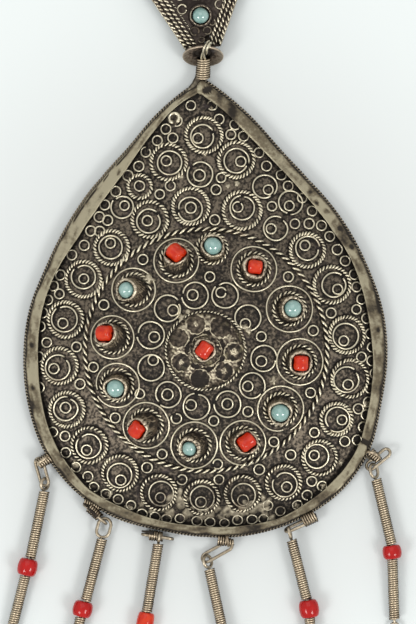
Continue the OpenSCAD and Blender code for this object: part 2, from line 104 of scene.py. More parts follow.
# %% A socket that does arithmetic
class Socket:
    """One output of a material's nodes."""

    def __init__(self, tree, output=None):
        self.tree = tree
        self.output = output

    def node(self, kind, settings, inputs, out=0):
        made = self.tree.nodes.new(kind)
        for name, value in settings.items():
            setattr(made, name, value)
        for key, value in inputs.items():
            if isinstance(value, Socket):
                self.tree.links.new(value.output, made.inputs[key])
            else:
                made.inputs[key].default_value = value
        return Socket(self.tree, made.outputs[out])

    def maths(self, operation, a, b):
        return self.node("ShaderNodeMath", {"operation": operation}, {0: a, 1: b})

    def __add__(self, other):
        return self.maths("ADD", self, other)

    def __radd__(self, other):
        return self.maths("ADD", other, self)

    def __sub__(self, other):
        return self.maths("SUBTRACT", self, other)

    def __rsub__(self, other):
        return self.maths("SUBTRACT", other, self)

    def __mul__(self, other):
        return self.maths("MULTIPLY", self, other)

    def __rmul__(self, other):
        return self.maths("MULTIPLY", other, self)

    def between(self, low, high):
        """0 up to low, 1 from high on, and a soft step from one to the other."""
        ends = {0: self, 1: low, 2: high, 3: 0.0, 4: 1.0}
        return self.node("ShaderNodeMapRange", {"interpolation_type": "SMOOTHSTEP"}, ends)

    def blend(self, a, b):
        """Colour a where this mask is 0, and colour b where it is 1."""
        inputs = {0: self, 6: a, 7: b}
        inputs = {k: (*v, 1) if isinstance(v, tuple) and len(v) == 3 else v for k, v in inputs.items()}
        return self.node("ShaderNodeMix", {"data_type": "RGBA"}, inputs, 2)

    def geometry(self, what):
        """A vector of the place that is shaded, such as its Position or its Normal."""
        return self.node("ShaderNodeNewGeometry", {}, {}, what)

    def noise(self, size, detail, offset=0.0):
        """Soft noise whose patches are about size millimetres across, from 0 to 1."""
        shift = {0: self.geometry("Position"), 1: (offset, offset, offset)}
        moved = self.node("ShaderNodeVectorMath", {"operation": "ADD"}, shift)
        inputs = {"Vector": moved, "Scale": 1 / (size * MM), "Detail": detail}
        return self.node("ShaderNodeTexNoise", {}, inputs)

    def marked(self, name):
        """A number that the mesh carries at each of its points."""
        return self.node("ShaderNodeAttribute", {"attribute_name": name}, {}, 2)

    def bump(self, height, depth):
        """A normal from a height mask, depth in millimetres."""
        return self.node("ShaderNodeBump", {}, {"Strength": 1.0, "Distance": depth * MM, "Height": height})


def new_paint(name, constants):
    """An empty material: its start for sums, and its Principled shader with the constant inputs set."""
    paint = bpy.data.materials.new(name)
    paint.use_nodes = True
    shader = paint.node_tree.nodes["Principled BSDF"]
    for key, value in constants.items():
        shader.inputs[key].default_value = value
    return paint, Socket(paint.node_tree), shader


def feed(shader, paint, links):
    """Links each sum to the shader's input of that name."""
    for key, value in links.items():
        paint.node_tree.links.new(value.output, shader.inputs[key])


# %% [markdown]
# ## Old silver
# Worn silver is pale where fingers and cloth rub it, and brown to black where they don't reach. Every
# wire mesh below carries a mark of that wear: 1 along its top and 0 down at the sheet. In some pieces
# the mark also holds painted light and shade: on the sides of the wound tubes, along the flange's inner
# edge and across the field. The silver paint turns that mark into colour, metal and roughness, and
# noise breaks it up as tarnish does.

# %% Silver paint
def silver_paint(name, colours, rubbed_from, rubbed_to, rough,
                 stain=(0.30, 0.22, 0.15), stained=0.5, grain=0.03, speckle=0.45):
    """Tarnished silver. Its colours are those of its hollows, of its flanks and of its worn tops."""
    hollow, flank, top = colours
    paint, start, shader = new_paint(name, {"Specular IOR Level": 0.5})
    broad = start.noise(5.0, 3.0)
    fine = start.noise(0.7, 4.0, 0.3)
    wear_and_shade = start.marked("wear_and_shade") + (broad - 0.5) * 0.6 + (fine - 0.5) * speckle
    rubbed = wear_and_shade.between(rubbed_from, rubbed_to)
    lower = rubbed.between(0.0, 0.5).blend(hollow, flank)
    colour = rubbed.between(0.45, 1.0).blend(lower, top)
    patches = start.noise(3.2, 3.0, 0.7).between(0.55, 0.78) * stained
    feed(shader, paint, {
        "Base Color": patches.blend(colour, stain),
        "Metallic": 0.55 + rubbed * 0.4,
        "Roughness": rough + 0.25 - rubbed * 0.25 + (fine - 0.5) * 0.2,
        "Normal": start.bump(fine + start.noise(0.25, 2.0, 0.9) * 0.6, grain),
    })
    return paint


# %% Finishes of the wires and the field
WIRE = silver_paint(
    "worn_wire", [(0.026, 0.020, 0.015), (0.20, 0.170, 0.125), (0.70, 0.645, 0.495)], 0.38, 0.88, 0.32)
ROPE = silver_paint(
    "worn_rope", [(0.018, 0.014, 0.010), (0.18, 0.150, 0.108), (0.72, 0.66, 0.50)], 0.20, 0.84, 0.32)
FIELD = silver_paint(
    "dark_field", [(0.010, 0.008, 0.0062), (0.056, 0.046, 0.0355), (0.163, 0.136, 0.104)], 0.12, 1.0, 0.45,
    stain=(0.080, 0.062, 0.062), grain=0.09, speckle=2.3)
MILLED = silver_paint(
    "milled_wire", [(0.010, 0.008, 0.006), (0.085, 0.066, 0.046), (0.32, 0.275, 0.205)], 0.15, 0.95, 0.40,
    stain=(0.10, 0.07, 0.045), stained=0.6)
TUBE = silver_paint(
    "wound_silver", [(0.014, 0.010, 0.007), (0.135, 0.100, 0.064), (0.54, 0.45, 0.325)], 0.15, 0.95, 0.32,
    stain=(0.22, 0.15, 0.10), stained=0.4, grain=0.02)

# %% Finishes of the sheet metal, the casting and the solder
RIM = silver_paint(
    "rim_silver", [(0.018, 0.014, 0.010), (0.135, 0.112, 0.074), (0.345, 0.315, 0.225)], 0.20, 0.95, 0.42,
    stain=(0.120, 0.088, 0.054), stained=0.45, grain=0.06)
COLLAR = silver_paint(
    "bezel_silver", [(0.026, 0.020, 0.015), (0.22, 0.175, 0.125), (0.58, 0.51, 0.39)], 0.20, 0.95, 0.36,
    stain=(0.24, 0.17, 0.11), stained=0.6, grain=0.05)
BRONZE = silver_paint(
    "brown_bronze", [(0.032, 0.023, 0.017), (0.262, 0.200, 0.148), (0.51, 0.425, 0.33)], 0.06, 0.90, 0.36,
    stain=(0.110, 0.105, 0.115), stained=0.6, grain=0.05, speckle=1.5)
SOLDER = silver_paint(
    "dull_solder", [(0.045, 0.037, 0.028), (0.235, 0.205, 0.150), (0.47, 0.425, 0.32)], 0.20, 1.0, 0.42,
    stain=(0.17, 0.130, 0.090), grain=0.05, speckle=0.35)
BOSS = silver_paint(
    "cast_silver", [(0.016, 0.012, 0.009), (0.120, 0.095, 0.070), (0.56, 0.50, 0.37)], 0.12, 1.0, 0.40,
    stain=(0.30, 0.265, 0.155), stained=0.7, grain=0.06, speckle=0.7)
print("last silver paint:", BOSS.name, "with", len(BOSS.node_tree.nodes), "nodes")

# %% [markdown]
# ## Meshes from sweeps
# Nearly all of this brooch is wire, soldered down. A wire is a ring of points carried along a path,
# so `sweep` is the lesson's main tool, and a `Tray` collects hundreds of wires into one piece. A curve
# with a bevel would be shorter, but it can't mark its own tops for the paint.

# %% Angles and directions
def unit(v):
    return v / np.maximum(np.linalg.norm(v, axis=-1, keepdims=True), 1e-12)


def full_turn(count):
    """That many angles, evenly round a full turn."""
    return np.arange(count) * TURN / count


def heading(angles):
    """Directions in plan at those angles."""
    return np.stack([np.cos(angles), np.sin(angles)], -1)


def about(angles, x, y):
    """Directions at those angles in the plane of x and y."""
    return np.cos(angles)[:, None] * x + np.sin(angles)[:, None] * y


def wobble(angles, spread, orders, falling=False):
    """Slow chance unevenness along those angles: a wave for each order, the high ones smaller if falling."""
    return sum(
        dice.normal(0, spread / k if falling else spread) * np.cos(k * angles + dice.uniform(0, TURN))
        for k in orders)


# %% Tray
# The plaque's foot, against the dangles, is darker: its middle and its reach in mm, and how much of the mark
# it loses
FOOT_AT = (3, -39)
FOOT_REACH = (26, 9)
FOOT_LESS = 0.25


def foot_dimming(points):
    """Share of the mark kept at each point, less at the plaque's foot, which makes it darker there."""
    along = np.exp(-((points[..., 0] - FOOT_AT[0]) / FOOT_REACH[0]) ** 4)
    return 1 - FOOT_LESS * np.exp(-((points[..., 1] - FOOT_AT[1]) / FOOT_REACH[1]) ** 2) * along


class Tray:
    """Collects the small parts of one piece."""

    def __init__(self):
        self.points = []
        self.faces = []
        self.wear_and_shade = []
        self.count = 0

    def put(self, points, faces, wear_and_shade):
        self.points.append(points.reshape(-1, 3))
        self.faces += [tuple(int(i) + self.count for i in face) for face in faces]
        self.wear_and_shade.append((np.broadcast_to(wear_and_shade, points.shape[:-1]) * foot_dimming(points)).ravel())
        self.count += len(self.points[-1])

    def crown(self, point, wear_and_shade, first, count):
        """A middle point that closes the innermost ring, which has count points from the first on."""
        self.put(np.array([point]), [], np.array([wear_and_shade]))
        last = self.count - 1
        self.faces += [(last, first + k, first + (k + 1) % count) for k in range(count)]

    def piece(self, name, paint, slot_name, *nodes):
        """Makes the mesh, rides it on the body and hides the nodes that it stands for."""
        mesh = bpy.data.meshes.new(name)
        mesh.from_pydata((np.concatenate(self.points) * MM).tolist(), [], self.faces)
        mark = mesh.attributes.new("wear_and_shade", "FLOAT", "POINT")
        mark.data.foreach_set("value", np.concatenate(self.wear_and_shade).astype(np.float32))
        mesh.polygons.foreach_set("use_smooth", [True] * len(mesh.polygons))
        mesh.materials.append(paint)
        made = bpy.data.objects.new(name, mesh)
        bpy.context.scene.collection.objects.link(made)
        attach(made, "root")
        if nodes:
            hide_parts(*nodes)
        print(name, len(mesh.polygons), "faces")


# %% Faces
def grid_faces(rows, columns, rows_close, columns_close):
    """The four-sided faces of a grid of points, which may close on itself either way."""
    r = np.arange(rows if rows_close else rows - 1)
    c = np.arange(columns if columns_close else columns - 1)
    r, c = np.meshgrid(r, c, indexing="ij")
    r1 = (r + 1) % rows
    c1 = (c + 1) % columns
    corners = [r * columns + c, r1 * columns + c, r1 * columns + c1, r * columns + c1]
    return np.stack(corners, -1).reshape(-1, 4)


def tube_faces(rings, sides, closed):
    """The faces of a tube, with flat ends if it is open."""
    faces = grid_faces(rings, sides, closed, True).tolist()
    if not closed:
        faces.append(list(range(sides))[::-1])
        faces.append([(rings - 1) * sides + k for k in range(sides)])
    return faces


def dome_faces(rings, sides):
    """The faces of a dome whose rings go outwards and run anticlockwise."""
    return grid_faces(rings, sides, False, True)[:, ::-1]


# %% Sweep
def frames(path, ups, closed):
    """Along, sideways and upward directions at each point of a path."""
    ahead = np.roll(path, -1, 0) - np.roll(path, 1, 0) if closed else np.gradient(path, axis=0)
    ahead = unit(ahead)
    side = unit(np.cross(ahead, ups))
    return ahead, side, np.cross(side, ahead)


def even(path, count, closed=False):
    """The same path with evenly spaced points."""
    line = np.vstack([path, path[:1]]) if closed else path
    walked = np.concatenate([[0], np.cumsum(np.linalg.norm(np.diff(line, axis=0), axis=1))])
    at = np.linspace(0, walked[-1], count, endpoint=not closed)
    return np.stack([np.interp(at, walked, line[:, k]) for k in range(line.shape[1])], -1)


def section(sides):
    """Angles of the corners of a wire's section."""
    return (np.arange(sides) + 0.5) * TURN / sides


def top_worn(sides):
    """Worn mark round a wire's section: 1 on top and 0 underneath."""
    return 0.5 + 0.5 * np.sin(section(sides))


def sweep(tray, path, ups, wide, high, closed, sides=6, wear_and_shade=None):
    """A wire of oval section along a path."""
    _, side, over = frames(path, np.broadcast_to(ups, path.shape), closed)
    a = section(sides)
    across = np.cos(a)[None, :, None] * side[:, None] * np.reshape(wide, (-1, 1, 1)) / 2
    upward = np.sin(a)[None, :, None] * over[:, None] * np.reshape(high, (-1, 1, 1)) / 2
    marks = top_worn(sides) if wear_and_shade is None else wear_and_shade
    tray.put(path[:, None] + across + upward, tube_faces(len(path), sides, closed), marks)


# %% Rope
# Shares of a rope's thickness: from its middle to a strand's middle, and a strand's own radius
STRAND_OFF = 0.26
STRAND_R = 0.25


def rope(tray, path, ups, thick, marks, closed, sides=7, steps=8, low=0.0, patchy=0.0):
    """Two wires twisted along a path. Each mark on its top is half a turn, worn from the height low up.
    A patchy rope has stretches where only its highest parts are worn."""
    turns = max(1, round(marks / 2))
    both = even(np.hstack([path, np.broadcast_to(ups, path.shape)]), turns * steps, closed)
    path, ups = both[:, :3], unit(both[:, 3:])
    _, side, over = frames(path, ups, closed)
    count = len(path)
    phase = TURN * turns * np.arange(count) / (count if closed else count - 1)
    start = dice.uniform(0, TURN)
    slack = wobble(full_turn(count), 0.30, (2, 3, 5, 8))
    loose = 1 + wobble(full_turn(count), 0.05, (3, 7, 13))
    dull = wobble(full_turn(count), 0.6, (1, 2, 3, 4))
    low = low + patchy * np.clip(dull, -0.4, 1)[:, None]
    a = section(sides)
    for half in (0, math.pi):
        p = (phase + half + start + slack)[:, None]
        strand = path + STRAND_OFF * thick * loose[:, None] * (np.cos(p) * side + np.sin(p) * over)
        _, strand_side, strand_over = frames(strand, over, closed)
        points = strand[:, None] + STRAND_R * thick * (
            np.cos(a)[None, :, None] * strand_side[:, None] + np.sin(a)[None, :, None] * strand_over[:, None])
        off = points - path[:, None]
        high = np.sum(off * over[:, None], -1) / thick
        outside = np.linalg.norm(off, axis=-1) / thick
        wear_and_shade = np.clip((high - low) / 0.26, 0, 1) * np.clip((outside - 0.38) / 0.11, 0, 1)
        tray.put(points, tube_faces(count, sides, closed), wear_and_shade)


# %% [markdown]
# ## The plaque's outline and its dome
# The teardrop's outer edge was measured from the middle of its round end: an angle and a radius, in
# millimetres. A smooth curve goes through the table. The dome's level lines are that outline, scaled
# down, and rounder at the apex the higher they lie, exactly as in the solid.

# %% Outline
APEX = 90.7
EDGE = [
    (-90, 44.9), (-75, 45.9), (-60, 46.8), (-45, 47.6), (-30, 47.2), (-15, 45.5), (0, 45.5), (15, 46),
    (30, 46.7), (45, 48.7), (60, 51.6), (70, 55.4), (80, 62), (90.7, 70.4), (100, 63.4), (110, 56.5),
    (120, 52.4), (135, 48.6), (150, 46.3), (165, 46), (180, 45.8), (195, 46.2), (210, 46.9), (225, 46.9),
    (240, 46.2), (255, 44.8), (270, 44.9)
]
MIDDLE = np.array([0.0, -2.0])
apex_row = [angle for angle, _ in EDGE].index(APEX)


def wrapped(angles):
    """The same angles from -90 to 270 degrees."""
    return (np.asarray(angles, float) + 90) % 360 - 90


def near_apex(angles, width):
    """1 at the apex, falling to 0 at that many degrees from it."""
    return np.maximum(0, 1 - np.abs(wrapped(angles) - APEX) / width)


def smooth_table(rows, angles):
    """The radius at each angle, on a smooth curve through the rows."""
    a = np.array([r[0] for r in rows], float)
    v = np.array([r[1] for r in rows], float)
    v = np.concatenate([[2 * v[0] - v[1]], v, [2 * v[-1] - v[-2]]])
    i = np.clip(np.searchsorted(a, angles, side="left") - 1, 0, len(a) - 2)
    t = (angles - a[i]) / (a[i + 1] - a[i])
    p0, p1, p2, p3 = v[i], v[i + 1], v[i + 2], v[i + 3]
    return 0.5 * (2 * p1 + (p2 - p0) * t + (2 * p0 - 5 * p1 + 4 * p2 - p3) * t ** 2
                  + (3 * p1 - p0 - 3 * p2 + p3) * t ** 3)


def edge_radius(angles):
    """Radius of the plaque's outer edge."""
    angles = wrapped(angles)
    right = smooth_table(EDGE[:apex_row + 1], np.minimum(angles, APEX))
    left = smooth_table(EDGE[apex_row:], np.maximum(angles, APEX))
    return np.where(angles <= APEX, right, left)


def inset_radius(angles, inset):
    """Radius of a line that far inside the outer edge, which a radius crosses aslant near the apex."""
    return edge_radius(angles) - inset * (1.04 + 0.55 * near_apex(angles, 9))


def polar(angles, radii, z):
    """Points of the plaque from angles in degrees, radii and heights."""
    a = np.radians(angles)
    return np.stack([MIDDLE[0] + radii * np.cos(a), MIDDLE[1] + radii * np.sin(a), z + 0 * a], -1)


# %% Dome
MARGIN_Z = 1.75
DOME_RISE = 10.6
DOME_CURVE = 0.55
DOME_INSET = 3.2
FLAT = math.sqrt(1 - DOME_CURVE ** 2)


def dome_radius(angles, q):
    """Radius of the level line at share q of the way out."""
    return q * inset_radius(angles, DOME_INSET) * (1 - 0.25 * (1 - q ** 3) * near_apex(angles, 24))


def field_z(xy):
    """Height of the dome under points given as x, y."""
    v = np.asarray(xy, float) - MIDDLE
    angles = np.degrees(np.arctan2(v[..., 1], v[..., 0]))
    r = np.hypot(v[..., 0], v[..., 1])
    q = r / inset_radius(angles, DOME_INSET)
    for _ in range(8):
        safe = np.maximum(q, 0.01)
        q = r * safe / dome_radius(angles, safe)
    bow = np.sqrt(1 - np.minimum(q * DOME_CURVE, 0.99) ** 2)
    return MARGIN_Z + DOME_RISE * np.where(q < 1, (bow - FLAT) / (1 - FLAT), 0)


def field_up(xy):
    """The direction straight out of the dome."""
    d = 0.4
    sx, sy = [(field_z(xy + step) - field_z(xy - step)) / (2 * d) for step in d * np.eye(2)]
    return unit(np.stack([-sx, -sy, np.ones_like(sx)], -1))


def on_field(xy, lift):
    """Points lying on the dome, lifted straight out of it, and the directions out of it."""
    xy = np.asarray(xy, float)
    up = field_up(xy)
    return np.concatenate([xy, field_z(xy)[..., None]], -1) + up * lift, up


print("dome: top %.1f mm, edge %.1f mm" % (field_z(MIDDLE), field_z(MIDDLE + (44, 0))))

# %% [markdown]
# ## The chart of the filigree
# Every ring of the real brooch was bent and set by hand, so none is quite round, centred or closed.
# The chart below lists them as they lie, in quarter millimetres from the picture's corner: middle and
# outer radius, and for an open ring the direction of its gap in degrees. The inner edge of the
# flange wanders too, so it is charted first, from the apex round by the right.

# %% Inner edge of the flange
PER_MM = 4
ORIGIN_AT = (206, 350)
INNER_EDGE = [
    (199.5, 92), (206, 97), (214, 102.5), (225, 111), (244, 131), (264, 151), (283, 171), (301, 191),
    (318, 211), (333, 231), (349, 255), (359, 280), (367, 310), (371.5, 340), (373, 365), (371.5, 390),
    (365, 424), (357, 449), (343, 471), (324, 490), (303, 505), (280, 518.5), (250, 525), (220, 527),
    (200, 526), (160, 520.4), (124, 508), (89, 490), (72, 470), (58, 450), (49, 430), (42.5, 404),
    (38.5, 375), (38, 345), (41.5, 315), (49, 287), (60, 265), (77, 240), (96, 210.5), (110, 191),
    (126, 171), (139, 151), (154, 131), (171, 111), (184, 101), (192, 96.5)
]


def spot(px, py):
    """A place of the chart in millimetres on the plaque."""
    return np.array([(px - ORIGIN_AT[0]) / PER_MM, (ORIGIN_AT[1] - py) / PER_MM])


inner_xy = np.array([spot(px, py) for px, py in INNER_EDGE]) - MIDDLE
inner_turn = np.unwrap(np.arctan2(inner_xy[:, 1], inner_xy[:, 0]))
inner_long = np.hypot(inner_xy[:, 0], inner_xy[:, 1])
order = np.argsort(inner_turn)


def inner_radius(angles):
    """Radius of the flange's inner edge, on lines between the chart's places that bend away from the apex."""
    here, before, after = [
        np.interp(np.radians(angles) + step, inner_turn[order], inner_long[order], period=TURN)
        for step in (0, -0.03, 0.03)]
    return np.where(near_apex(angles, 9) > 0, here, (here * 2 + before + after) / 4)


# %% The medallions
# Rope ring, plain ring with its gap, small ring
MEDALLIONS = [
    ((203.8, 135.2, 20), (202.5, 136.5, 12.7, 23), (198, 138.3, 6)),
    ((168.6, 162.3, 20), (169.8, 163, 13, None), (166.5, 161, 6)),
    ((236, 160, 20), (236.3, 161, 13.4, -20), (240.6, 161.6, 6)),
    (None, (200, 174.5, 13.7, 137), (199.4, 175.5, 6.7)),
    ((190.8, 206.8, 20.3), (190, 209.6, 13.2, 190), (190.8, 208, 6.4)),
    ((241.7, 210.8, 21), (242, 208, 13.2, 90), (237.6, 207.3, 6.1)),
    (None, (264.6, 187, 13, -50), (268, 190, 5.8)),
    ((140, 187, 14), None, (139.7, 186.2, 6)),
    (None, (122.5, 207.3, 12.2, 135), (124.8, 205.8, 5.6)),
    ((150.2, 220, 20), (149, 221.4, 12.9, 40), (147.6, 221, 6)),
    ((112, 248, 19.2), (111, 247.5, 12.6, None), (110.8, 243.3, 5.9)),
    ((84, 279.6, 20), (83.8, 277, 13, 130), (84.2, 279, 5.8)),
    ((66, 319.8, 19.8), (64.8, 319, 14, 118), (63.3, 323.3, 5.9)),
    ((60, 366, 20), (58.3, 367.5, 13.5, 48), (54.2, 368.6, 6)),
    ((67.3, 409.5, 19.5), (66.2, 408.5, 13, 70), (66, 407.5, 6.2)),
    ((89.7, 445, 19.8), (89, 445.7, 13.4, 133), (87, 449.8, 6)),
    ((120.4, 472.7, 19.6), (119.8, 475, 13.2, None), (121, 479.7, 6)),
    ((159, 492, 19.6), (161.3, 493, 13.3, None), (160.4, 497, 5.8)),
    ((202, 497, 19), (202.2, 497.5, 13, None), (201, 501.5, 6.2)),
    ((242.5, 493, 19.5), (243.3, 494.8, 12.9, None), (243, 499.6, 6.3)),
    ((283.5, 482, 19.2), (284.5, 484.2, 13.3, 145), (286.5, 486.5, 6)),
    ((319.3, 457.5, 19.2), (316.3, 456, 12.9, None), (313.8, 455, 5.9)),
    ((336, 419, 18), (337, 419.4, 13.4, 225), (341.5, 419.8, 5.8)),
    ((349.5, 378.5, 20.6), (346, 379.5, 13.8, 45), (347.6, 384.5, 6)),
    ((346.3, 335, 20), (345.2, 336.2, 13.8, None), (343.3, 340.8, 5.8)),
    ((331.3, 285, 20.4), (333.7, 285, 13.2, 45), (337.3, 289.4, 5.9)),
    ((306.7, 250.5, 19.2), (307.3, 248.5, 13, 0), (304.6, 245.6, 5.9)),
    (None, (275.4, 228.7, 13.1, 55), (270.8, 229, 5.9)),
    (None, (290.2, 203, 13, 260), (289, 206, 5.8)),
    # The eleven round the boss have no rope
    (None, (195, 295.6, 14.2, 180), (192.7, 295.2, 6.4)),
    (None, (225, 295.4, 13.9, 130), (221, 292.7, 6)),
    (None, (168, 308.5, 14.2, 30), (173.3, 310.3, 6.4)),
    (None, (151, 335, 14.6, 180), (154.5, 337, 6.3)),
    (None, (151.5, 367.6, 14, None), (153.5, 360, 6)),
    (None, (168.3, 394.3, 13.8, 225), (167.7, 394.2, 6.5)),
    (None, (196.5, 406, 14.2, 90), (191, 404.5, 6.3)),
    (None, (227.3, 403.7, 14.2, 170), (227.3, 403.6, 6.4)),
    (None, (252, 385.5, 13.8, -35), (247.5, 386, 6)),
    (None, (263.5, 358.3, 14, 0), (261, 361, 6.2)),
    (None, (247.5, 318, 14, 250), (245.2, 323.8, 6))
]
print("medallions:", len(MEDALLIONS))

# %% The small loose rings
LOOSE = """
143.3,259.7 209.8,277 288,277 312.8,330.6 310,392.5 273.5,441.3 217.5,463.5 162.3,453.5 115.7,417.5 94,367
104.3,305 261,336.5 247.7,411.2 213.7,420.4 176.5,418 140.2,393.5 190.8,105.1 212,105
166,129 173,138 157.5,140.5 146,152 139,166.3 128,175.5 219,119 235,124.5 230.7,134.5 243.5,136 259,152.5
266.3,166 281,175 288,186 221,178 216,190 170.5,186 160,194.5 214.7,220.2 271.7,206.5 294.6,224 308.8,223.8
321.3,225.6 312,211 302,198 329.5,236.5 337,249.7 345,261 354,274.5 356.5,287 361.4,299.3 356.2,309.5
366.3,318.5 330.6,313 370.2,333.8 371.8,347.3 361,357 371.7,360.8 374.5,373.5 370,388.5 368,402 358,408.8
366,415 363,427 357,440 344.4,441.2 313.9,432.2 290.3,454.4 259,469 219,479 182,479 147.2,467 76,467
88,476.5 94,487 106,494 118.3,499 131,505 142,514 155,517 166.5,519 180,518.5 197,521 210,522 224.5,523
237.5,520 252,519.5 263.5,519 267.7,505 280.3,511 297.5,505 307,495 311.5,481 322,486 116,191.5 105,205
99.5,217 108,220.5 91,231 100,231.5 84.5,245.5 72,255 60.5,275 53.5,286 59.6,294 48,300 43,313 40.5,326.5
47,342.5 77,346.8 39,357 80.5,383.8 39.5,387.5 65.4,436 53,432 66,452.5
"""
# Small rings that stand open, and the direction of their gaps
OPEN_RINGS = {
    (221, 292.7): 5, (191, 404.5): 175, (237.6, 207.3): 60, (212, 105): 200, (170.5, 186): 75,
    (219, 119): 250, (235, 124.5): 20, (176.5, 418): 120, (146, 152): 60, (217.5, 463.5): 200,
    (182, 479): 170, (76, 467): 160, (88, 476.5): 230, (94, 487): 240, (322, 486): 290, (307, 495): 300,
    (142, 514): 250
}
loose_rings = [tuple(float(v) for v in pair.split(",")) for pair in LOOSE.split()]
print("loose rings:", len(loose_rings))

# %% [markdown]
# ## Plain wire, rope wire and small rings
# A ring is drawn round in plan and laid down on the dome, so its wire follows the slope. Plain wire is
# taller than it is wide, since it stands on its edge. The gap of an open ring is a few degrees with
# the ends turned in a little, as bending pliers leave them.

# %% Rings on the dome
def ring_path(px, py, radius, gap, lift, uneven=0.014, open_by=17):
    """A ring of the chart laid on the dome: its points and the directions out of the dome."""
    count = max(18, int(radius * 14))
    r = radius * (1 + wobble(full_turn(count), uneven, (2, 3, 4), falling=True))
    a = np.arange(count) * 360 / count
    if gap is not None:
        a = gap + open_by / 2 + np.linspace(0, 360 - open_by, count)
        r = r * (1 - 0.10 * np.linspace(0, 1, count) ** 8)
    return on_field(spot(px, py) + r[:, None] * heading(np.radians(a)), lift)


def plain_ring(tray, px, py, radius, gap, wide=0.5, high=0.75, open_by=17):
    path, up = ring_path(px, py, radius / PER_MM - wide / 2, gap, 0.2, open_by=open_by)
    heights = high * (1 + 0.12 * np.sin(np.linspace(0, TURN, len(path)) * 2 + dice.uniform(0, TURN)))
    sweep(tray, path, up, wide, heights, gap is None)


def rope_ring(tray, px, py, radius, thick, marks, low, patchy, lift=0.25):
    path, up = ring_path(px, py, radius / PER_MM - thick / 2, None, lift, 0.02)
    rope(tray, path, up, thick, marks, True, low=low, patchy=patchy)


# %% All rings of the chart
SMALL_WIRE = {"wide": 0.46, "high": 0.7}
SMALL_RING = 5.85
LOWER_ROW = 440
ropes = Tray()
wires = Tray()
for rope_at, plain_at, small_at in MEDALLIONS:
    if rope_at:
        marks = TURN * (rope_at[2] - 2) / dice.uniform(3.25, 3.7)
        # The lowest ropes are clogged with solder and dirt
        low, patchy = (0.07, 0.13) if rope_at[1] > LOWER_ROW else (0.0, 0.08)
        rope_ring(ropes, *rope_at, 1.15, marks, low=low, patchy=patchy)
    if plain_at:
        plain_ring(wires, *plain_at)
    plain_ring(wires, *small_at, OPEN_RINGS.get(small_at[:2]), **SMALL_WIRE, open_by=24)
for px, py in loose_rings:
    gap = OPEN_RINGS.get((px, py))
    radius = SMALL_RING + dice.normal(0, 0.12)
    plain_ring(wires, px, py, radius, gap, **SMALL_WIRE, open_by=0 if gap is None else 50)
# At the upper left a ring is bent from thick strip, with a short bow of thin wire in it
plain_ring(wires, 173.8, 117.5, 7.4, 285, 1.1, 0.75, 26)
plain_ring(wires, 176.5, 120.5, 6.6, 150, 0.45, 0.6, 210)
ropes.piece("medallion_ropes", ROPE, "silver")
wires.piece("medallion_wires", WIRE, "silver")

# %% The big rope circle
CIRCLE_R = 30.15
circle = Tray()
path, up = ring_path(*ORIGIN_AT, CIRCLE_R, None, 0.3, 0.002)
rope(circle, path, up, 1.28, 98, True, sides=8, steps=12, low=-0.12, patchy=0.10)
circle.piece("big_rope", ROPE, "silver")

# %% [markdown]
# ## The domed sheet
# Under the wires lies a sheet blackened on purpose, so that the wires stand out. Solder, polish and
# dirt collect at the foot of each wire, and painted shade darkens it there and by the flange, while
# painted light makes it paler up and to the left. Its mesh is fine enough to mark every point by how
# far it is from the nearest wire, and a low ripple keeps it from looking pressed.

# %% Noise for marks
def waves(xy, size, seed):
    """Rough noise between about -1 and 1, from sine waves of many headings."""
    toss = np.random.default_rng(seed)
    total = np.zeros(xy.shape[:-1])
    for _ in range(9):
        way = toss.uniform(0, math.pi)
        pace = TURN / (size * toss.uniform(0.7, 1.5))
        walked = (xy[..., 0] * math.cos(way) + xy[..., 1] * math.sin(way)) * pace
        total += np.sin(walked + toss.uniform(0, TURN))
    return total / 3.2


# %% Wear of the field
def from_wires(xy):
    """Distance of each point from the nearest ring on the field."""
    feet = [(*spot(*ORIGIN_AT), CIRCLE_R)]
    for medallion in MEDALLIONS:
        feet += [(*spot(*ring[:2]), (ring[2] - 1.5) / PER_MM) for ring in medallion if ring]
    feet += [(*spot(px, py), 1.1) for px, py in loose_rings]
    nearest = np.full(xy.shape[:-1], 9.0)
    for x, y, r in feet:
        nearest = np.minimum(nearest, np.abs(np.hypot(xy[..., 0] - x, xy[..., 1] - y) - r))
    return nearest


def field_wear_and_shade(xy, from_flange):
    """Wear of the field with painted light and shade: dark at the wires, partly as painted shade, and
    in painted shadow by the flange; darker inside the big rope, below the first stone and in the apex;
    and paler up and to the left, as painted light."""
    x, y = xy[..., 0], xy[..., 1]
    # Painted light: paler up and to the left, where the dome's slopes face the light; then darker inside the
    # big rope, in the apex and below the first stone
    painted_light_and_tone = 0.10 * np.clip((y - 12) / 20, 0, 1) + 0.07 * np.clip((-x - 18) / 12, 0, 1)
    painted_light_and_tone -= 0.09 * np.clip((30 - np.hypot(x, y)) / 1.5, 0, 1) + 0.18 * np.clip((y - 54) / 6, 0, 1)
    painted_light_and_tone -= 0.26 * np.exp(-((x - 1.5) / 4.5) ** 2 - ((y - 20.5) / 3.0) ** 2)
    # Darker near the wires: polish and dirt there, and painted shade at their feet
    wear_and_shade = np.clip(0.12 + painted_light_and_tone + (from_wires(xy) - 0.25) / 1.1, 0, 0.62 + painted_light_and_tone)
    # Painted shadow: the field goes dark next to the flange, under its raised inner edge
    return wear_and_shade * np.clip((from_flange - 0.15) / 0.9, 0, 1)


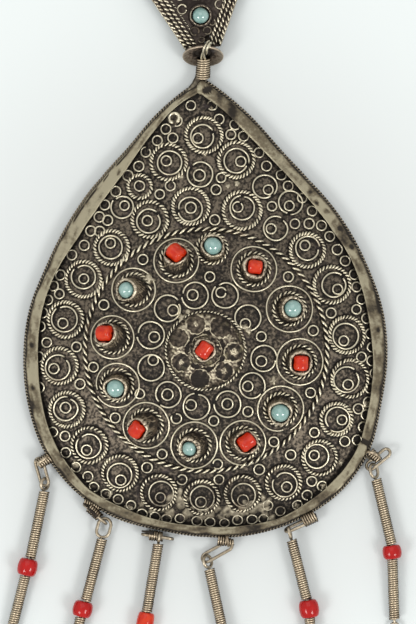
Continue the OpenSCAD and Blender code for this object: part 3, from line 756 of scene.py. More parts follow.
# %% Field sheet
shares = np.concatenate([np.linspace(0.01, 0.9, 84), np.linspace(0.91, 1.0, 10)])
angles = np.arange(0, 360, 0.75)
rows = [polar(angles, dome_radius(angles, q), 0) for q in shares]
rows.append(polar(angles, inset_radius(angles, 1.6), 0))
sheet = np.stack(rows)
flat_xy = sheet[..., :2]
x, y = flat_xy[..., 0], flat_xy[..., 1]
ripple = 0.05 * np.sin(x * 1.7 + 2 * np.sin(y * 0.6)) * np.sin(y * 1.3)
sheet[..., 2] = field_z(flat_xy) + ripple - 0.02
from_flange = inner_radius(angles)[None] - np.hypot(x - MIDDLE[0], y - MIDDLE[1])
field = Tray()
field.put(sheet, dome_faces(len(rows), len(angles)), field_wear_and_shade(flat_xy, from_flange))
field.crown([*MIDDLE, field_z(MIDDLE) - 0.02], 1.0, 0, len(angles))
field.piece("field_sheet", FIELD, "dark_silver", "front_plate")

# %% Solder
# Middle and radius of each flood of solder, in the chart's units, and its height in mm where it is a lump
FLOODS = [
    (176, 497, 8), (166, 508, 5), (188, 513, 6), (201, 516, 5), (216, 508, 5), (222, 516, 4), (236, 514, 5),
    (251, 507, 7), (262, 497, 4), (264, 511, 6), (272, 519, 4), (149, 279, 5.2, 0.95), (273.3, 380.5, 3.5),
    (182, 318, 4.2, 0.9), (188, 312, 3), (248, 331, 4.0, 0.9), (244, 327, 3.5), (228, 186, 2.5),
    (237, 183.5, 3), (183, 503, 6), (208, 514, 6), (228, 511, 6), (243, 511, 6), (256, 505, 6),
    (266, 503, 5), (170, 514, 5), (152, 511, 4), (211.5, 107.5, 2), (341, 463, 2.4), (128, 509, 4),
    (142, 504, 3), (110, 494, 3), (75, 465, 4), (205, 153, 3), (180, 176, 3.5), (186, 166, 2.5),
    (366, 405, 4), (324, 487, 3), (297, 506, 3), (243.5, 344, 2.4, 1.2)
]
FLOOD_HIGH = 0.42
turns = full_turn(28)
solder = Tray()
for px, py, radius, *lump in FLOODS:
    tall = lump[0] if lump else FLOOD_HIGH
    uneven = 1 + wobble(turns, 0.13, (2, 3, 4, 5))
    rows = []
    for share in (0.03, 0.25, 0.5, 0.72, 0.88, 1.0, 1.12):
        xy = spot(px, py) + radius / PER_MM * share * uneven[:, None] * heading(turns)
        lift = tall * (1 - share ** 4) + 0.03 * np.cos(5 * turns + share * 9)
        place, up = on_field(xy, 0)
        rows.append(place + up * lift[:, None])
    rows = np.stack(rows)
    marks = np.clip(0.77 + 0.15 * waves(rows[..., :2], 1.5, 21), 0, 1)
    solder.put(rows, dome_faces(len(rows), len(turns)), marks)
solder.piece("solder", SOLDER, "silver")

# %% [markdown]
# ## Settings: bases, collars and stones
# Each stone sits in a tall collar of thin sheet, burnished over its edge by hand, so the mouth is
# uneven. Round its foot lie a rope ring and, outside that, a plain ring. The collars lean outwards
# with the slope of the dome.

# %% Chart of the settings
# Kind, x, y, size and turn of the stone, x and y of its base, outer radius of the plain ring, and
# last the collar's radius in mm
SETTINGS = [
    ("turquoise", 213, 246, 17.5, 0, 212, 249, 0, 2.95),
    ("coral", 255, 267, 14.5, -8, 253.5, 269.4, 23.5, 3.0),
    ("turquoise", 293, 308.5, 17.4, 0, 289, 309, 24, 3.0),
    ("coral", 300.6, 363, 15.5, 88, 299.2, 361.7, 24, 3.0),
    ("turquoise", 280, 413, 18, 0, 280, 409, 24, 3.0),
    ("coral", 246.3, 442, 17, 35, 242.7, 442.5, 23.4, 3.05),
    ("turquoise", 189, 448.6, 14.2, 0, 194.2, 444.6, 24, 2.95),
    ("coral", 137.5, 429, 16, 45, 146.5, 425, 23.8, 2.95),
    ("turquoise", 115.4, 388.5, 17.6, 0, 117.5, 385, 23, 2.95),
    ("coral", 105.4, 333.5, 16.5, 0, 113, 337.3, 22.3, 3.0),
    ("turquoise", 126, 290, 16, 0, 134, 290, 22.5, 2.9),
    ("coral", 176, 253.5, 17.5, -42, 176.5, 261, 23, 3.05)
]
COLLAR_H = 3.3
# Outer radius of the rope rings, and of the one that has no plain ring round it
BASE_ROPE, LONE_ROPE = 18, 17
# The plain rings of these settings stand open
OPEN_BASES = (5, 9)


def stand_at(up):
    """Sideways, across and upward directions of something that stands along up."""
    x = unit(np.cross([0, 1, 0], up))
    return x, np.cross(up, x), up


# %% Collar
# Share of the mouth, stretch of the tube, level, worn mark, roughness in mm
COLLAR_PROFILE = [
    (0, 1.12, 0.0, 0.15, 0), (0, 1.06, 0.15, 0.20, 0.05), (0, 1.04, 0.3, 0.32, 0.07),
    (0, 1.03, 0.45, 0.42, 0.07), (0, 1.02, 0.6, 0.48, 0.07), (0, 1.01, 0.74, 0.52, 0.07),
    (0, 1.02, 0.85, 0.58, 0.06), (0.05, 1.04, 0.96, 0.74, 0.06), (0.3, 1.04, 1.05, 0.80, 0.07),
    (0.65, 1.02, 1.05, 0.66, 0.07), (0.93, 1.0, 0.99, 0.45, 0.05), (1.0, 1.0, 0.90, 0.25, 0),
    (0.95, 1.0, 0.7, 0.1, 0), (0.7, 1.0, 0.3, 0.0, 0)
]
COLLAR_SIDES = 64


def mouth_of(size, turned=None):
    """The mouth's radii round a stone: round, or a soft square for a piece of coral."""
    a = full_turn(COLLAR_SIDES)
    uneven = 1 + wobble(a, 0.025, (2, 3, 5, 7))
    if turned is None:
        return (size / 2 + 0.13) * uneven
    b = a - math.radians(turned)
    return (size / 2 + 0.11) * uneven / (np.abs(np.cos(b)) ** 4 + np.abs(np.sin(b)) ** 4) ** 0.25


def collar(tray, foot, top, radius, mouth):
    """A thin tube from foot to top whose lip is pressed in to the mouth's radii."""
    tall = np.linalg.norm(top - foot)
    x, y, z = stand_at(unit(top - foot))
    a = full_turn(COLLAR_SIDES)
    ring = about(a, x, y)
    outer = radius * (1 + wobble(a, 0.035, (2, 3, 5)))
    mouth = np.minimum(mouth, outer * 0.93)
    rows = []
    wear_and_shade = []
    for share, stretch, level, mark, rough in COLLAR_PROFILE:
        r = outer * stretch * (1 - share) + mouth * share
        place = foot + r[:, None] * ring + tall * level * z
        grain = waves(place[:, :2] + 0.8 * place[:, 2:], 0.62, 31)
        rows.append(place + (rough * grain)[:, None] * (ring + 0.5 * z))
        wear_and_shade.append(np.clip(mark + (0.36 if rough else 0) * grain, 0, 1))
    tray.put(np.stack(rows), grid_faces(len(rows), COLLAR_SIDES, False, True), np.stack(wear_and_shade))
    floor = foot + 0.35 * tall * z + radius * 0.9 * ring
    tray.put(floor, [list(range(COLLAR_SIDES))], np.zeros(COLLAR_SIDES))


# %% Stones
def cabochon(tray, top, up, size):
    """A low polished dome, a little out of round."""
    x, y, z = stand_at(up)
    rings, sides = 14, 40
    a = full_turn(sides)
    uneven = 1 + wobble(a, 0.012, (2, 3, 4))
    rows = []
    for k in range(rings):
        t = (k + 0.4) / (rings - 0.6) * 0.62 * math.pi
        rows.append(top + (size / 2) * uneven[:, None] * math.sin(t) * about(a, x, y)
                    + (size * 0.5) * (math.cos(t) - 0.1) * z)
    tray.put(np.stack(rows), grid_faces(rings, sides, False, True), 1.0)
    tray.crown(top + size * 0.45 * z, 1.0, tray.count - rings * sides, sides)


def coral_bead(tray, top, up, size, turned, length=1.0):
    """A short piece of coral branch on its side: squarish from above, with soft ends."""
    x, y, z = stand_at(up)
    t = math.radians(turned)
    along = math.cos(t) * x + math.sin(t) * y
    across = np.cross(z, along)
    rings, sides = 26, 32
    a = full_turn(sides)
    squash = 1 + wobble(a, 0.02, (1, 2, 3))
    half = size * length / 2
    rows = []
    for k in range(rings):
        u = -1 + 2 * k / (rings - 1)
        r = (size / 2) * (1 - abs(u * 0.999) ** 6) ** (1 / 3.2)
        bulge = 1 + 0.02 * math.sin(u * 5 + size)
        rows.append(top + u * half * along + r * bulge * squash[:, None] * about(a, across, z))
    tray.put(np.stack(rows), dome_faces(rings, sides), 1.0)


# %% [markdown]
# ## Coral, turquoise and glass
# Coral is waxy and nearly even in colour, with a faint grain and paler clouds. Turquoise is chalkier
# and paler, with cloudy patches. The beads are plain red glass, so opaque that only gloss shows.

# %% Stone paints
def stone_paint(name, colours, rough, coat, patch, gloss=1.75):
    """A polished stone. Its colours are its main one, that of its clouds and that of its pits."""
    main, cloudy, dark = colours
    paint, start, shader = new_paint(
        name, {"Coat Weight": coat, "Coat Roughness": 0.03, "Coat IOR": gloss, "Specular IOR Level": 0.1})
    cloud = start.noise(patch, 3.0, 0.1).between(0.40, 0.70)
    pits = start.noise(0.35, 2.0, 0.5).between(0.62, 0.74)
    feed(shader, paint, {
        "Base Color": (pits * 0.55).blend(cloud.blend(main, cloudy), dark),
        "Roughness": rough + cloud * 0.1 + pits * 0.2,
        "Normal": start.bump(cloud - pits * 0.8, 0.03),
    })
    return paint


CORAL = stone_paint(
    "coral", [(0.49, 0.015, 0.001), (0.57, 0.036, 0.003), (0.24, 0.006, 0.001)], 0.34, 0.40, 1.6)
TURQUOISE = stone_paint(
    "turquoise", [(0.180, 0.335, 0.312), (0.275, 0.43, 0.40), (0.09, 0.22, 0.21)], 0.32, 1.0, 1.8, gloss=2.0)
GLASS = stone_paint(
    "red_glass", [(0.36, 0.002, 0.002), (0.42, 0.004, 0.003), (0.24, 0.001, 0.001)], 0.22, 0.32, 2.5)

# %% Making the twelve settings
collars = Tray()
base_ropes = Tray()
base_rings = Tray()
for number, (kind, sx, sy, size, turned, bx, by, ring_r, collar_r) in enumerate(SETTINGS, 1):
    base = spot(bx, by)
    foot, _ = on_field(base, -0.2)
    top = np.array([*spot(sx, sy), field_z(base) + COLLAR_H])
    way = unit(top - foot)
    collar(collars, foot, top, collar_r, mouth_of(size / PER_MM, turned if kind == "coral" else None))
    rope_ring(base_ropes, bx, by, BASE_ROPE if ring_r else LONE_ROPE, 1.08, 22, low=-0.02, patchy=0.10)
    if ring_r:
        gap = dice.uniform(0, 360) if number in OPEN_BASES else None
        plain_ring(base_rings, bx, by, ring_r, gap, 0.5, 0.8)
    stone = Tray()
    if kind == "coral":
        coral_bead(stone, top + way * 0.1, way, size / PER_MM * 0.94, turned, 1.06)
    else:
        cabochon(stone, top - way * 0.25, way, size / PER_MM)
    stone.piece("%s_%d" % (kind, number), CORAL if kind == "coral" else TURQUOISE, kind, "stone_%d" % number)
collars.piece("bezels", COLLAR, "silver")
base_ropes.piece("base_ropes", ROPE, "silver")
base_rings.piece("base_rings", WIRE, "silver")

# %% [markdown]
# ## The boss
# The middle carries a cast dome: seven heavy rings with webs between them, and a scalloped ring round
# the coral's collar. It is worn smooth on top and black in its pits. A height map on a polar grid gives
# that melted, cast look better than separate rings would.

# %% Cast relief
BOSS_AT = (205.5, 350.5)
BOSS_MID = spot(*BOSS_AT)
BOSS_R = 9.6
BOSS_H = 4.0
BOSS_Z = field_z(np.array([0.0, 0.0])) - 0.3
# Middle and radius of the seven rings. For each pit the size of the pellet in it, in mm, and its floor's wear
CAST = [
    (196, 324, 9.6), (221, 327, 10.8), (234, 352, 9.2), (224, 371, 9.2), (200, 379, 9.8), (181, 362, 9.4),
    (178.5, 338, 9.8)
]
PELLETS = [0.75, 0, 1.2, 0.9, 0, 0.75, 0]
PIT_WORN = [0.42, 0.36, 0.30, 0.24, 0.20, 0.24, 0.42]


def far_from(xy, px, py):
    """Distance of each point of the boss from a place of the chart."""
    off = xy - (spot(px, py) - BOSS_MID)
    return np.hypot(off[..., 0], off[..., 1])


def boss_height(xy):
    """Height of the boss with its cast relief, and how worn it is there."""
    bent = xy + 0.16 * np.stack([waves(xy, 1.3, 5), waves(xy, 1.3, 6)], -1)
    r = np.hypot(bent[..., 0], bent[..., 1])
    angle = np.arctan2(bent[..., 1], bent[..., 0])
    past = np.stack([far_from(bent, px, py) - radius / PER_MM for px, py, radius in CAST])
    nearest, second = np.partition(past, 1, 0)[:2]
    broken = np.clip(0.85 + 0.45 * waves(xy, 2.2, 11), 0.25, 1)
    ring = np.exp(-((nearest - 0.05) / 0.36) ** 2) * broken
    web = np.exp(-(second / 2.0) ** 4) * (nearest > -0.05) * (r > 5.1)
    relief = np.maximum(0.55 * ring, 0.42 * web)
    wear_and_shade = np.maximum(1.05 * ring, web * (0.74 + 0.30 * waves(xy, 1.0, 7)))
    wear_and_shade = np.maximum(wear_and_shade, 0.42 + 0.24 * waves(xy, 0.9, 8))
    # Sunk between the rings and the scallops
    sunk = (nearest > 0.30) * np.clip((5.3 - r) / 0.4, 0, 1) * (r > 4.2)
    relief = relief - 0.28 * sunk
    wear_and_shade = wear_and_shade * (1 - 0.6 * sunk)
    # A pit in each ring, with a pellet in some
    pit = np.clip((-0.12 - nearest) / 0.2, 0, 1)
    past_pellet = np.full(r.shape, 9.0)
    for (px, py, _), size in zip(CAST, PELLETS):
        if size:
            past_pellet = np.minimum(past_pellet, far_from(bent, px, py) / size)
    pellet = np.exp(-past_pellet ** 5) * (0.85 + 0.2 * waves(xy, 0.6, 12))
    floor_worn = np.array(PIT_WORN)[past.argmin(0)] + 0.12 * waves(xy, 1.3, 9)
    relief = relief * (1 - pit) + pit * (-0.26 + 0.40 * pellet)
    wear_and_shade = wear_and_shade * (1 - pit) + pit * np.maximum(floor_worn, 0.95 * pellet)
    scallop = np.exp(-((r - 3.95 - 0.16 * np.cos(11 * angle)) / 0.22) ** 2) * broken
    relief = np.maximum(relief, 0.45 * scallop) + 0.045 * waves(xy, 0.7, 8)
    wear_and_shade = np.clip(np.maximum(wear_and_shade, 0.95 * scallop), 0, 1)
    # The foot is plain
    relief = np.where(r > 9.0, relief * 0.5 - 0.15, relief)
    wear_and_shade = np.where(r > 9.1, wear_and_shade * 0.6, wear_and_shade)
    out = np.hypot(xy[..., 0], xy[..., 1]) / (BOSS_R + 0.35)
    return BOSS_H * np.sqrt(np.maximum(0, 1 - out ** 2)) + relief - 0.3, wear_and_shade


# %% Boss dome
radii = np.linspace(0.02, BOSS_R, 150)
turns = full_turn(300)
grid = radii[:, None, None] * heading(turns)[None]
height, wear_and_shade = boss_height(grid)
boss = Tray()
points = np.concatenate([grid + BOSS_MID, (BOSS_Z + height)[..., None]], -1)
boss.put(points, dome_faces(len(radii), len(turns)), wear_and_shade)
boss.piece("boss_dome", BOSS, "dark_silver")
boss_rope = Tray()
rope_ring(boss_rope, *BOSS_AT, 40.8, 0.98, 66, lift=0.35, low=0.02, patchy=0.22)
boss_rope.piece("boss_rope", ROPE, "silver")

# %% Stone on the boss
CENTRE_TURN = 55
centre = np.array([*spot(204.5, 350), BOSS_Z + BOSS_H - 0.6])
centre_collar = Tray()
collar(centre_collar, centre, centre + 1.7 * UP, 2.75, mouth_of(3.85, CENTRE_TURN))
centre_collar.piece("centre_bezel", COLLAR, "silver")
centre_stone = Tray()
coral_bead(centre_stone, centre + 1.6 * UP, UP, 3.75, CENTRE_TURN, 1.1)
centre_stone.piece("centre_coral", CORAL, "coral", "centre_stone")

# %% [markdown]
# ## The rim
# The rim is one strip of sheet: a low wall, folded over into a flange that holds the dome down. It was
# filed and hammered by hand, so its inner edge wanders a little. At the apex one end laps over the
# other. A twisted wire runs round the wall as a milled edge.

# %% Charts of the rim
# Distance from the outline, share of the way to the inner edge, height, share of the wander, worn mark
# The worn mark paints a highlight along the flange's inner edge, and shade on the inner side of the fold and
# under it
RIM_PROFILE = [
    (0.62, 0, 0.03, 0, 0.05), (0.60, 0, 1.2, 0, 0.15), (0.60, 0, 2.6, 0, 0.25), (0.66, 0, 3.2, 0, 0.25),
    (0.80, 0, 3.46, 0, 0.35), (0.9, 0.08, 3.56, 0, 0.52), (0.9, 0.18, 3.57, 0.2, 0.60),
    (0.9, 0.35, 3.57, 0.4, 0.66), (0.9, 0.65, 3.54, 0.7, 0.60), (0.9, 0.86, 3.57, 1, 0.66),
    (0.9, 0.94, 3.60, 1, 0.82), (0.9, 1, 3.5, 1, 0.45), (0.88, 1.01, 3.2, 1, 0.0), (0.9, 1, 2.8, 1, 0.0),
    (1.55, 0, 2.7, 0, 0.0), (1.5, 0, 0.03, 0, 0.0)
]
# Rows of the profile that the seam beside the milled wire makes more worn, its lip, and less, its bottom
SEAM_WORN = {4: 0.30, 5: -0.75}
# An angle, and how much more worn than its mean the rim is there
RIM_WEAR = [
    (-90, 0.12), (-60, 0.04), (-40, 0.10), (-20, 0.05), (0, -0.05), (25, -0.05), (40, 0.02), (50, 0.08),
    (68, 0.10), (73, 0.02), (78, 0.04), (83, 0.02), (88, 0.06), (92, 0.0), (97, 0.06), (110, 0.19),
    (125, 0.20), (140, 0.18), (165, 0.14), (190, 0.08), (215, 0.04), (240, 0.08)
]
# Small dark pits of the strip, at places of the chart
RIM_PITS = [
    (310, 192), (317, 203), (326, 211), (334, 222), (340, 228), (352, 247), (31, 345), (33, 388), (62, 455),
    (226, 104), (250, 128), (118, 172), (378, 330)
]
# From and to which angle the seam shows dark
SEAMS = [(110.4, 114.9), (117.9, 120.2), (122.8, 127.7), (128.9, 134.4)]
# Angle of the joint at the lower right
JOINT = 332.1

# %% Rim strip
near_lap = 12
rim_angles = APEX + np.concatenate([
    np.linspace(0, near_lap, 50, endpoint=False), np.linspace(near_lap, 360 - near_lap, 700, endpoint=False),
    np.linspace(360 - near_lap, 360, 50, endpoint=False)])
count = len(rim_angles)
s = full_turn(count)
wander = wobble(s, 0.03, (14, 22, 31, 43, 57))
swell = wobble(s, 0.035, (4, 7, 13, 19))
joint = np.exp(-((rim_angles % 360 - JOINT) / 0.8) ** 4)
seam = sum(np.exp(-((rim_angles % 360 - (a + b) / 2) / (b - a) * 1.9) ** 6) for a, b in SEAMS)
edge_in = inner_radius(rim_angles)


def rim_worn(ring, share_in):
    """How much more worn than its mean one ring of the rim is: by place, in streaks, and less in pits."""
    more = np.interp(rim_angles, *zip(*RIM_WEAR), period=360)
    more = more + 0.09 * np.cos(s * 17 + 2) + 0.08 * np.cos(s * 29) + 0.05 * np.cos(s * 47 + 1)
    more = more + 0.11 * waves(np.stack([s * 47, share_in * 30 + 0 * s], -1), 5.0, 51) - 0.8 * joint
    ahead = unit(np.gradient(ring, axis=0))
    for px, py in RIM_PITS:
        off = ring - spot(px, py)
        along = np.sum(off * ahead, -1)
        across = off[:, 0] * ahead[:, 1] - off[:, 1] * ahead[:, 0]
        more = more - 0.75 * np.exp(-(along / 0.75) ** 2 - (across / 0.42) ** 2)
    return more


rim = Tray()
rows = []
marks = []
for row, (inset, share_in, z, share, mark) in enumerate(RIM_PROFILE):
    out = inset_radius(rim_angles, inset)
    radii = out + share_in * (edge_in - out) - wander * share + 0.35 * joint * share
    rows.append(polar(rim_angles, radii, z + (swell - 0.2 * joint if z > 3 else 0)))
    more = rim_worn(rows[-1][:, :2], share_in) + SEAM_WORN.get(row, 0) * seam
    marks.append(np.clip(mark + more * (mark > 0.3), 0, 1))
rim.put(np.stack(rows, 1), grid_faces(count, len(rows), True, True), np.stack(marks, 1))
flange = inset_radius(rim_angles, 0.9) - edge_in
print("flange: %.1f to %.1f mm wide" % (flange.min(), flange.max()))

# %% The lap at the apex
# t runs along the upper end of the strip and v across it
LAP_LONG, LAP_WIDE = 44, 13
t = np.linspace(0, 1, LAP_LONG)[:, None]
v = np.linspace(0, 1, LAP_WIDE)[None]
lap_angles = 91.9 - 24 * t ** 1.2
end_round = np.sqrt(np.clip(1 - 0.75 * (np.maximum(0, 0.06 - t) / 0.06) ** 2, 0.03, 1))
lap_out = inset_radius(lap_angles, 0.95) + 0.75 * np.exp(-(t / 0.22) ** 2)
lap_in = inner_radius(np.minimum(lap_angles, 90.9)) - 0.12
lap_r = (lap_out + lap_in) / 2 + (lap_out - lap_in) * end_round * (0.5 - v)
plan = polar(np.repeat(lap_angles, LAP_WIDE, 1), lap_r, 0)
fold = 0.34 * (1 - np.abs(2 * v - 1) ** 8) * (1 - t ** 3) * np.minimum(1, t * 24 + 0.2)
# A dark slanting dent, and a bead of solder beside it
dent_x, dent_y = plan[..., 0] - 0.35, plan[..., 1] - 65.1
dent = np.exp(-(np.hypot((dent_x * 0.92 + dent_y * 0.38) / 1.1, (dent_y * 0.92 - dent_x * 0.38) / 0.68) ** 4))
drop = np.exp(-(np.hypot(plan[..., 0] + 1.6, plan[..., 1] - 65.6) / 0.6) ** 2)
lap = np.concatenate([plan[..., :2], (3.60 + fold - 0.25 * dent + 0.12 * drop)[..., None]], -1)
stains = 0.42 * np.exp(-((t - 0.40) / 0.05) ** 2) + 0.25 * np.exp(-((t - 0.27) / 0.03) ** 2)
lap_worn = np.clip(0.66 - stains + 0.1 * (v > 0.9) + 0.4 * drop - 1.6 * dent, 0, 1)
rim.put(lap, grid_faces(LAP_LONG, LAP_WIDE, False, False), lap_worn)
rim.piece("rim_strip", RIM, "silver", "rim_band")

# %% Milled edge
edge = Tray()
fine = np.arange(0, 360, 0.35) + APEX
rope(edge, polar(fine, inset_radius(fine, 0.40), 1.95), UP, 0.90, 386, True, sides=5)
# Solder fills its turns along the left arm
for points, mark in zip(edge.points, edge.wear_and_shade):
    turned = np.degrees(np.arctan2(points[:, 1] - MIDDLE[1], points[:, 0] - MIDDLE[0]))
    mark += 0.60 * np.exp(-((turned - 126) / 20) ** 4)
edge.piece("milled_edge", MILLED, "silver")

# %% [markdown]
# ## Links, eyelets and their windings
# Each dangle hangs on an eyelet by a long link. The ends of the eyelet's wire are wound round its own
# foot, which shows as a short coil against the rim. Links and core wires keep their solids.

# %% Aim, loops and coils
def aim(d):
    """Three directions: along d, then level and upward."""
    x = unit(np.array(d, float))
    level = np.cross(UP, x)
    side = unit(level) if np.linalg.norm(level) > 1e-6 else np.array([1.0, 0, 0])
    return x, side, np.cross(x, side)


def eyelet_ring(tray, place, turned, roll, radius, wire):
    """A closed ring round place, with its heading in degrees and how far it rolls about that."""
    x, side, up = aim([math.cos(math.radians(turned)), math.sin(math.radians(turned)), 0])
    r = math.radians(roll)
    y = math.cos(r) * side + math.sin(r) * up
    a = np.linspace(-math.pi / 2, math.pi / 2, 16)
    halves = [np.array(place) + radius * about(a, x, y), np.array(place) - radius * about(a, x, y)]
    sweep(tray, even(np.vstack(halves), 56, True), np.cross(x, y), wire, wire, True, 10, 0.72)


def coil(tray, start, end, r_start, r_end, wire, pitch, sides, steps, worn_low=0.0):
    """Wire wound round a line. It is worn on the outside and dark between its turns, and painted shade
    darkens the turns that face down or sideways.
    """
    start = np.array(start, float)
    way = np.array(end, float) - start
    long = np.linalg.norm(way)
    x, y, z = aim(way)
    turns = max(1.5, long / pitch)
    t = np.linspace(0, 1, int(turns * steps))
    r = (r_start + (r_end - r_start) * t)[:, None] * (1 + 0.012 * np.sin(t * long * 2.1 + start[0]))[:, None]
    out = about(TURN * turns * t, y, z)
    path = start + (t * long)[:, None] * x + r * out
    # Painted shade: the turns lose their worn mark where they face away from up
    facing_shade = 0.25 + 0.75 * np.clip(out[:, 2:3] * 1.15, 0, 1)
    mark = np.clip(worn_low + top_worn(sides)[None] ** 1.6 * facing_shade, 0, 1)
    sweep(tray, path, out, wire, wire, False, sides, mark)


# %% Eyelets and their windings
# Middle x, y, z, radius, heading and roll of the eyelets that stand free of their windings
EYELETS = [
    (-40.75, -27.7, 2.9, 1.6, 38, 84), (5.4, -47.7, 1.9, 1.4, 100, 90), (41.7, -26.6, 2.3, 1.9, 155, 115)
]
# Both ends of each winding, its two radii
WINDINGS = [
    ((-42.0, -28.6, 2.4), (-39.2, -26.9, 2.4), 1.15, 1.3),
    ((-29.2, -39.4, 2.1), (-26.6, -42.0, 2.1), 1.15, 0.95),
    ((-30.4, -37.9, 1.9), (-26.4, -39.6, 1.9), 0.7, 0.7),
    ((-14.2, -46.3, 2.2), (-10.9, -46.8, 2.2), 1.15, 1.05),
    ((3.0, -47.6, 2.3), (6.9, -48.3, 2.2), 1.3, 0.6),
    ((24.3, -42.9, 2.4), (27.5, -41.5, 2.4), 1.45, 1.35),
    ((41.2, -25.6, 2.4), (43.3, -27.7, 2.4), 1.0, 0.85)
]
# Flattened ends of wire that stick out of the windings: tip, foot, both seen from above
BARS = [((-30.7, -38.3, 2.3), (-27.2, -41.8, 2.4)), ((-16.1, -45.3, 2.4), (-13.2, -45.8, 2.5))]
BAR_LIFT = 1.3
eyes = Tray()
for x, y, z, radius, turned, roll in EYELETS:
    eyelet_ring(eyes, (x, y, z), turned, roll, radius, 0.8)
for low, high, r_low, r_high in WINDINGS:
    coil(eyes, low, high, r_low, r_high, 0.55, 0.6, 8, 22, -0.15)
for tip, foot in BARS:
    line = np.linspace(tip, foot, 12)
    line[:, 2] += BAR_LIFT
    sweep(eyes, line, UP, np.linspace(0.4, 1.1, 12), 0.5, False, 8, 0.26)
eyes.piece("eyelets", TUBE, "silver")

# %% [markdown]
# ## Wound tubes and beads
# A tube of the dangles is one fine wire wound tight round a core, so dark lines show between the
# turns and its silhouette is faintly toothed. Painted shade darkens its sides. Between two tubes sits a bead.

# %% Chart of the dangles
# Middle of the core wire's upper loop, and how far below it the upper tube starts
LOOPS = [
    ((-40.4, -33.6, 1.9), 2.0), ((-25.4, -43.8, 2), 3.8), ((-11.7, -47, 3.1), 1.7), ((0.4, -53, 2.2), 2.1),
    ((20.9, -45.5, 3.1), 2.3), ((42, -30, 2.2), 2.6)
]
# Kind and middle of the bead, end of the dangle, the bead's width and length
BEADS = [
    ("glass", (-44.7, -54.4, 2.6), (-49.2, -72, 1.4), 5, 4.2),
    ("glass", (-30.9, -64.9, 2.6), (-35, -82, 1.4), 5, 3.9),
    ("barrel", (-15.3, -68.5, 2.3), (-19, -87.5, 1.4), 4.3, 5.6),
    ("glass", (5.1, -74.4, 2.6), (8.5, -93, 1.4), 5, 4.1),
    ("glass", (25.8, -64.8, 2.6), (27, -83, 1.4), 5, 4.4),
    ("glass", (46.6, -50.6, 2.6), (47.2, -67.5, 1.4), 4.8, 3.4)
]
# How far the upper tube of a dangle hangs to the right on its wire, at its lower and its upper end
TUBE_SHIFTS = {1: (0.25, 0.3), 2: (0.25, 0.3), 6: (0.3, 0.1)}
# A wound tube's two radii, thickness of its wire, pitch, sides of the wire and steps of a turn
TUBE_WIRE = (1.10, 1.10, 0.54, 0.56, 7, 14)
BORE_R = 0.75


# %% Turned shapes
def lathe(tray, middle, way, profile, sides=48, wear_and_shade=1.0):
    """Turns a closed profile of radius and height round way."""
    x, y, z = aim(way)
    ring = about(full_turn(sides), y, z)
    rows = np.stack([np.array(middle) + r * ring + h * x for r, h in profile])
    tray.put(rows, grid_faces(len(profile), sides, True, True), np.reshape(wear_and_shade, (-1, 1)))


def bead_section(wide, long, squareness):
    """A bead's wall round its bore: an oval, squarer the lower the squareness."""
    def bowed(v):
        return math.copysign(abs(v) ** squareness, v)

    half = (wide / 2 - BORE_R) / 2
    return [
        (BORE_R + half + half * bowed(math.cos(t)), long / 2 * bowed(math.sin(t)))
        for t in np.linspace(0, TURN, 36, endpoint=False)]


# %% Making the dangles
for n, ((loop_at, foot_below), (kind, bead_at, end, wide, long)) in enumerate(zip(LOOPS, BEADS), 1):
    loop_at, bead_at, end = [np.array(place, float) for place in (loop_at, bead_at, end)]
    upper = unit(bead_at - loop_at)
    lower = unit(end - bead_at)
    low_shift, high_shift = [np.array([shift, 0, 0]) for shift in TUBE_SHIFTS.get(n, (0, 0))]
    clear = long / 2 + 0.24
    tubes = Tray()
    coil(tubes, loop_at + foot_below * upper + high_shift, bead_at - clear * upper + low_shift, *TUBE_WIRE)
    coil(tubes, bead_at + clear * lower, end - 0.1 * lower, *TUBE_WIRE)
    tubes.piece("wound_tubes_%d" % n, TUBE, "silver", "upper_tube_%d" % n, "lower_tube_%d" % n)
    bead = Tray()
    lathe(bead, bead_at, upper + lower, bead_section(wide, long, 0.95 if kind == "glass" else 0.75))
    paint = (GLASS, "red_glass") if kind == "glass" else (CORAL, "coral")
    bead.piece("bead_%d_shown" % n, *paint, "bead_%d" % n)

# %% [markdown]
# ## Hanger and washer
# A stem wound with wire stands in the apex, in a fillet of solder on its left. Three strands of its
# core loop through the hole at the tip of the head. A dished washer of browner metal sits on the loop.

# %% Hanger
STEM_LOW = np.array([-0.78, 68.75, 2.6])
STEM_HIGH = np.array([-0.6, 72.5, 4.1])
stem_way = unit(STEM_HIGH - STEM_LOW)
hanger = Tray()
coil(hanger, STEM_LOW - 0.5 * stem_way, STEM_HIGH + 0.75 * stem_way, 1.6, 1.55, 0.56, 0.6, 8, 30, 0.05)
core = [(0.05, 0.0), (1.45, 0.0), (1.5, 0.4), (1.5, 3.6), (1.2, 3.9), (0.05, 3.95)]
lathe(hanger, STEM_LOW, stem_way, core, 32, 0.1)
hanger.piece("hanger_winding", TUBE, "silver", "hanger")

# %% Solder from the rim's left arm up to the winding's foot
# Middle line, and how wide the fillet is at shares of its length
FILLET = [(-5.9, 63.2, 2.3), (-4.0, 65.0, 2.6), (-2.6, 66.5, 2.7), (-1.9, 68.1, 2.7), (-1.6, 69.6, 2.6)]
FILLET_WIDE = ([0, 0.35, 0.7, 1], [0.7, 1.7, 2.1, 1.3])
steps, sides = 40, 11
fillet = Tray()
line = even(np.array(FILLET), steps)
wide = np.interp(np.linspace(0, 1, steps), *FILLET_WIDE) + 0.07 * waves(line[:, :2], 1.4, 42)
marks = 0.42 + 0.12 * waves(line[:, :2], 1.2, 43)[:, None] + 0.12 * np.cos(np.arange(sides) * 2.3)
sweep(fillet, line, UP, wide, 1.6, False, sides, np.clip(marks, 0, 1))
fillet.piece("apex_solder", SOLDER, "silver")

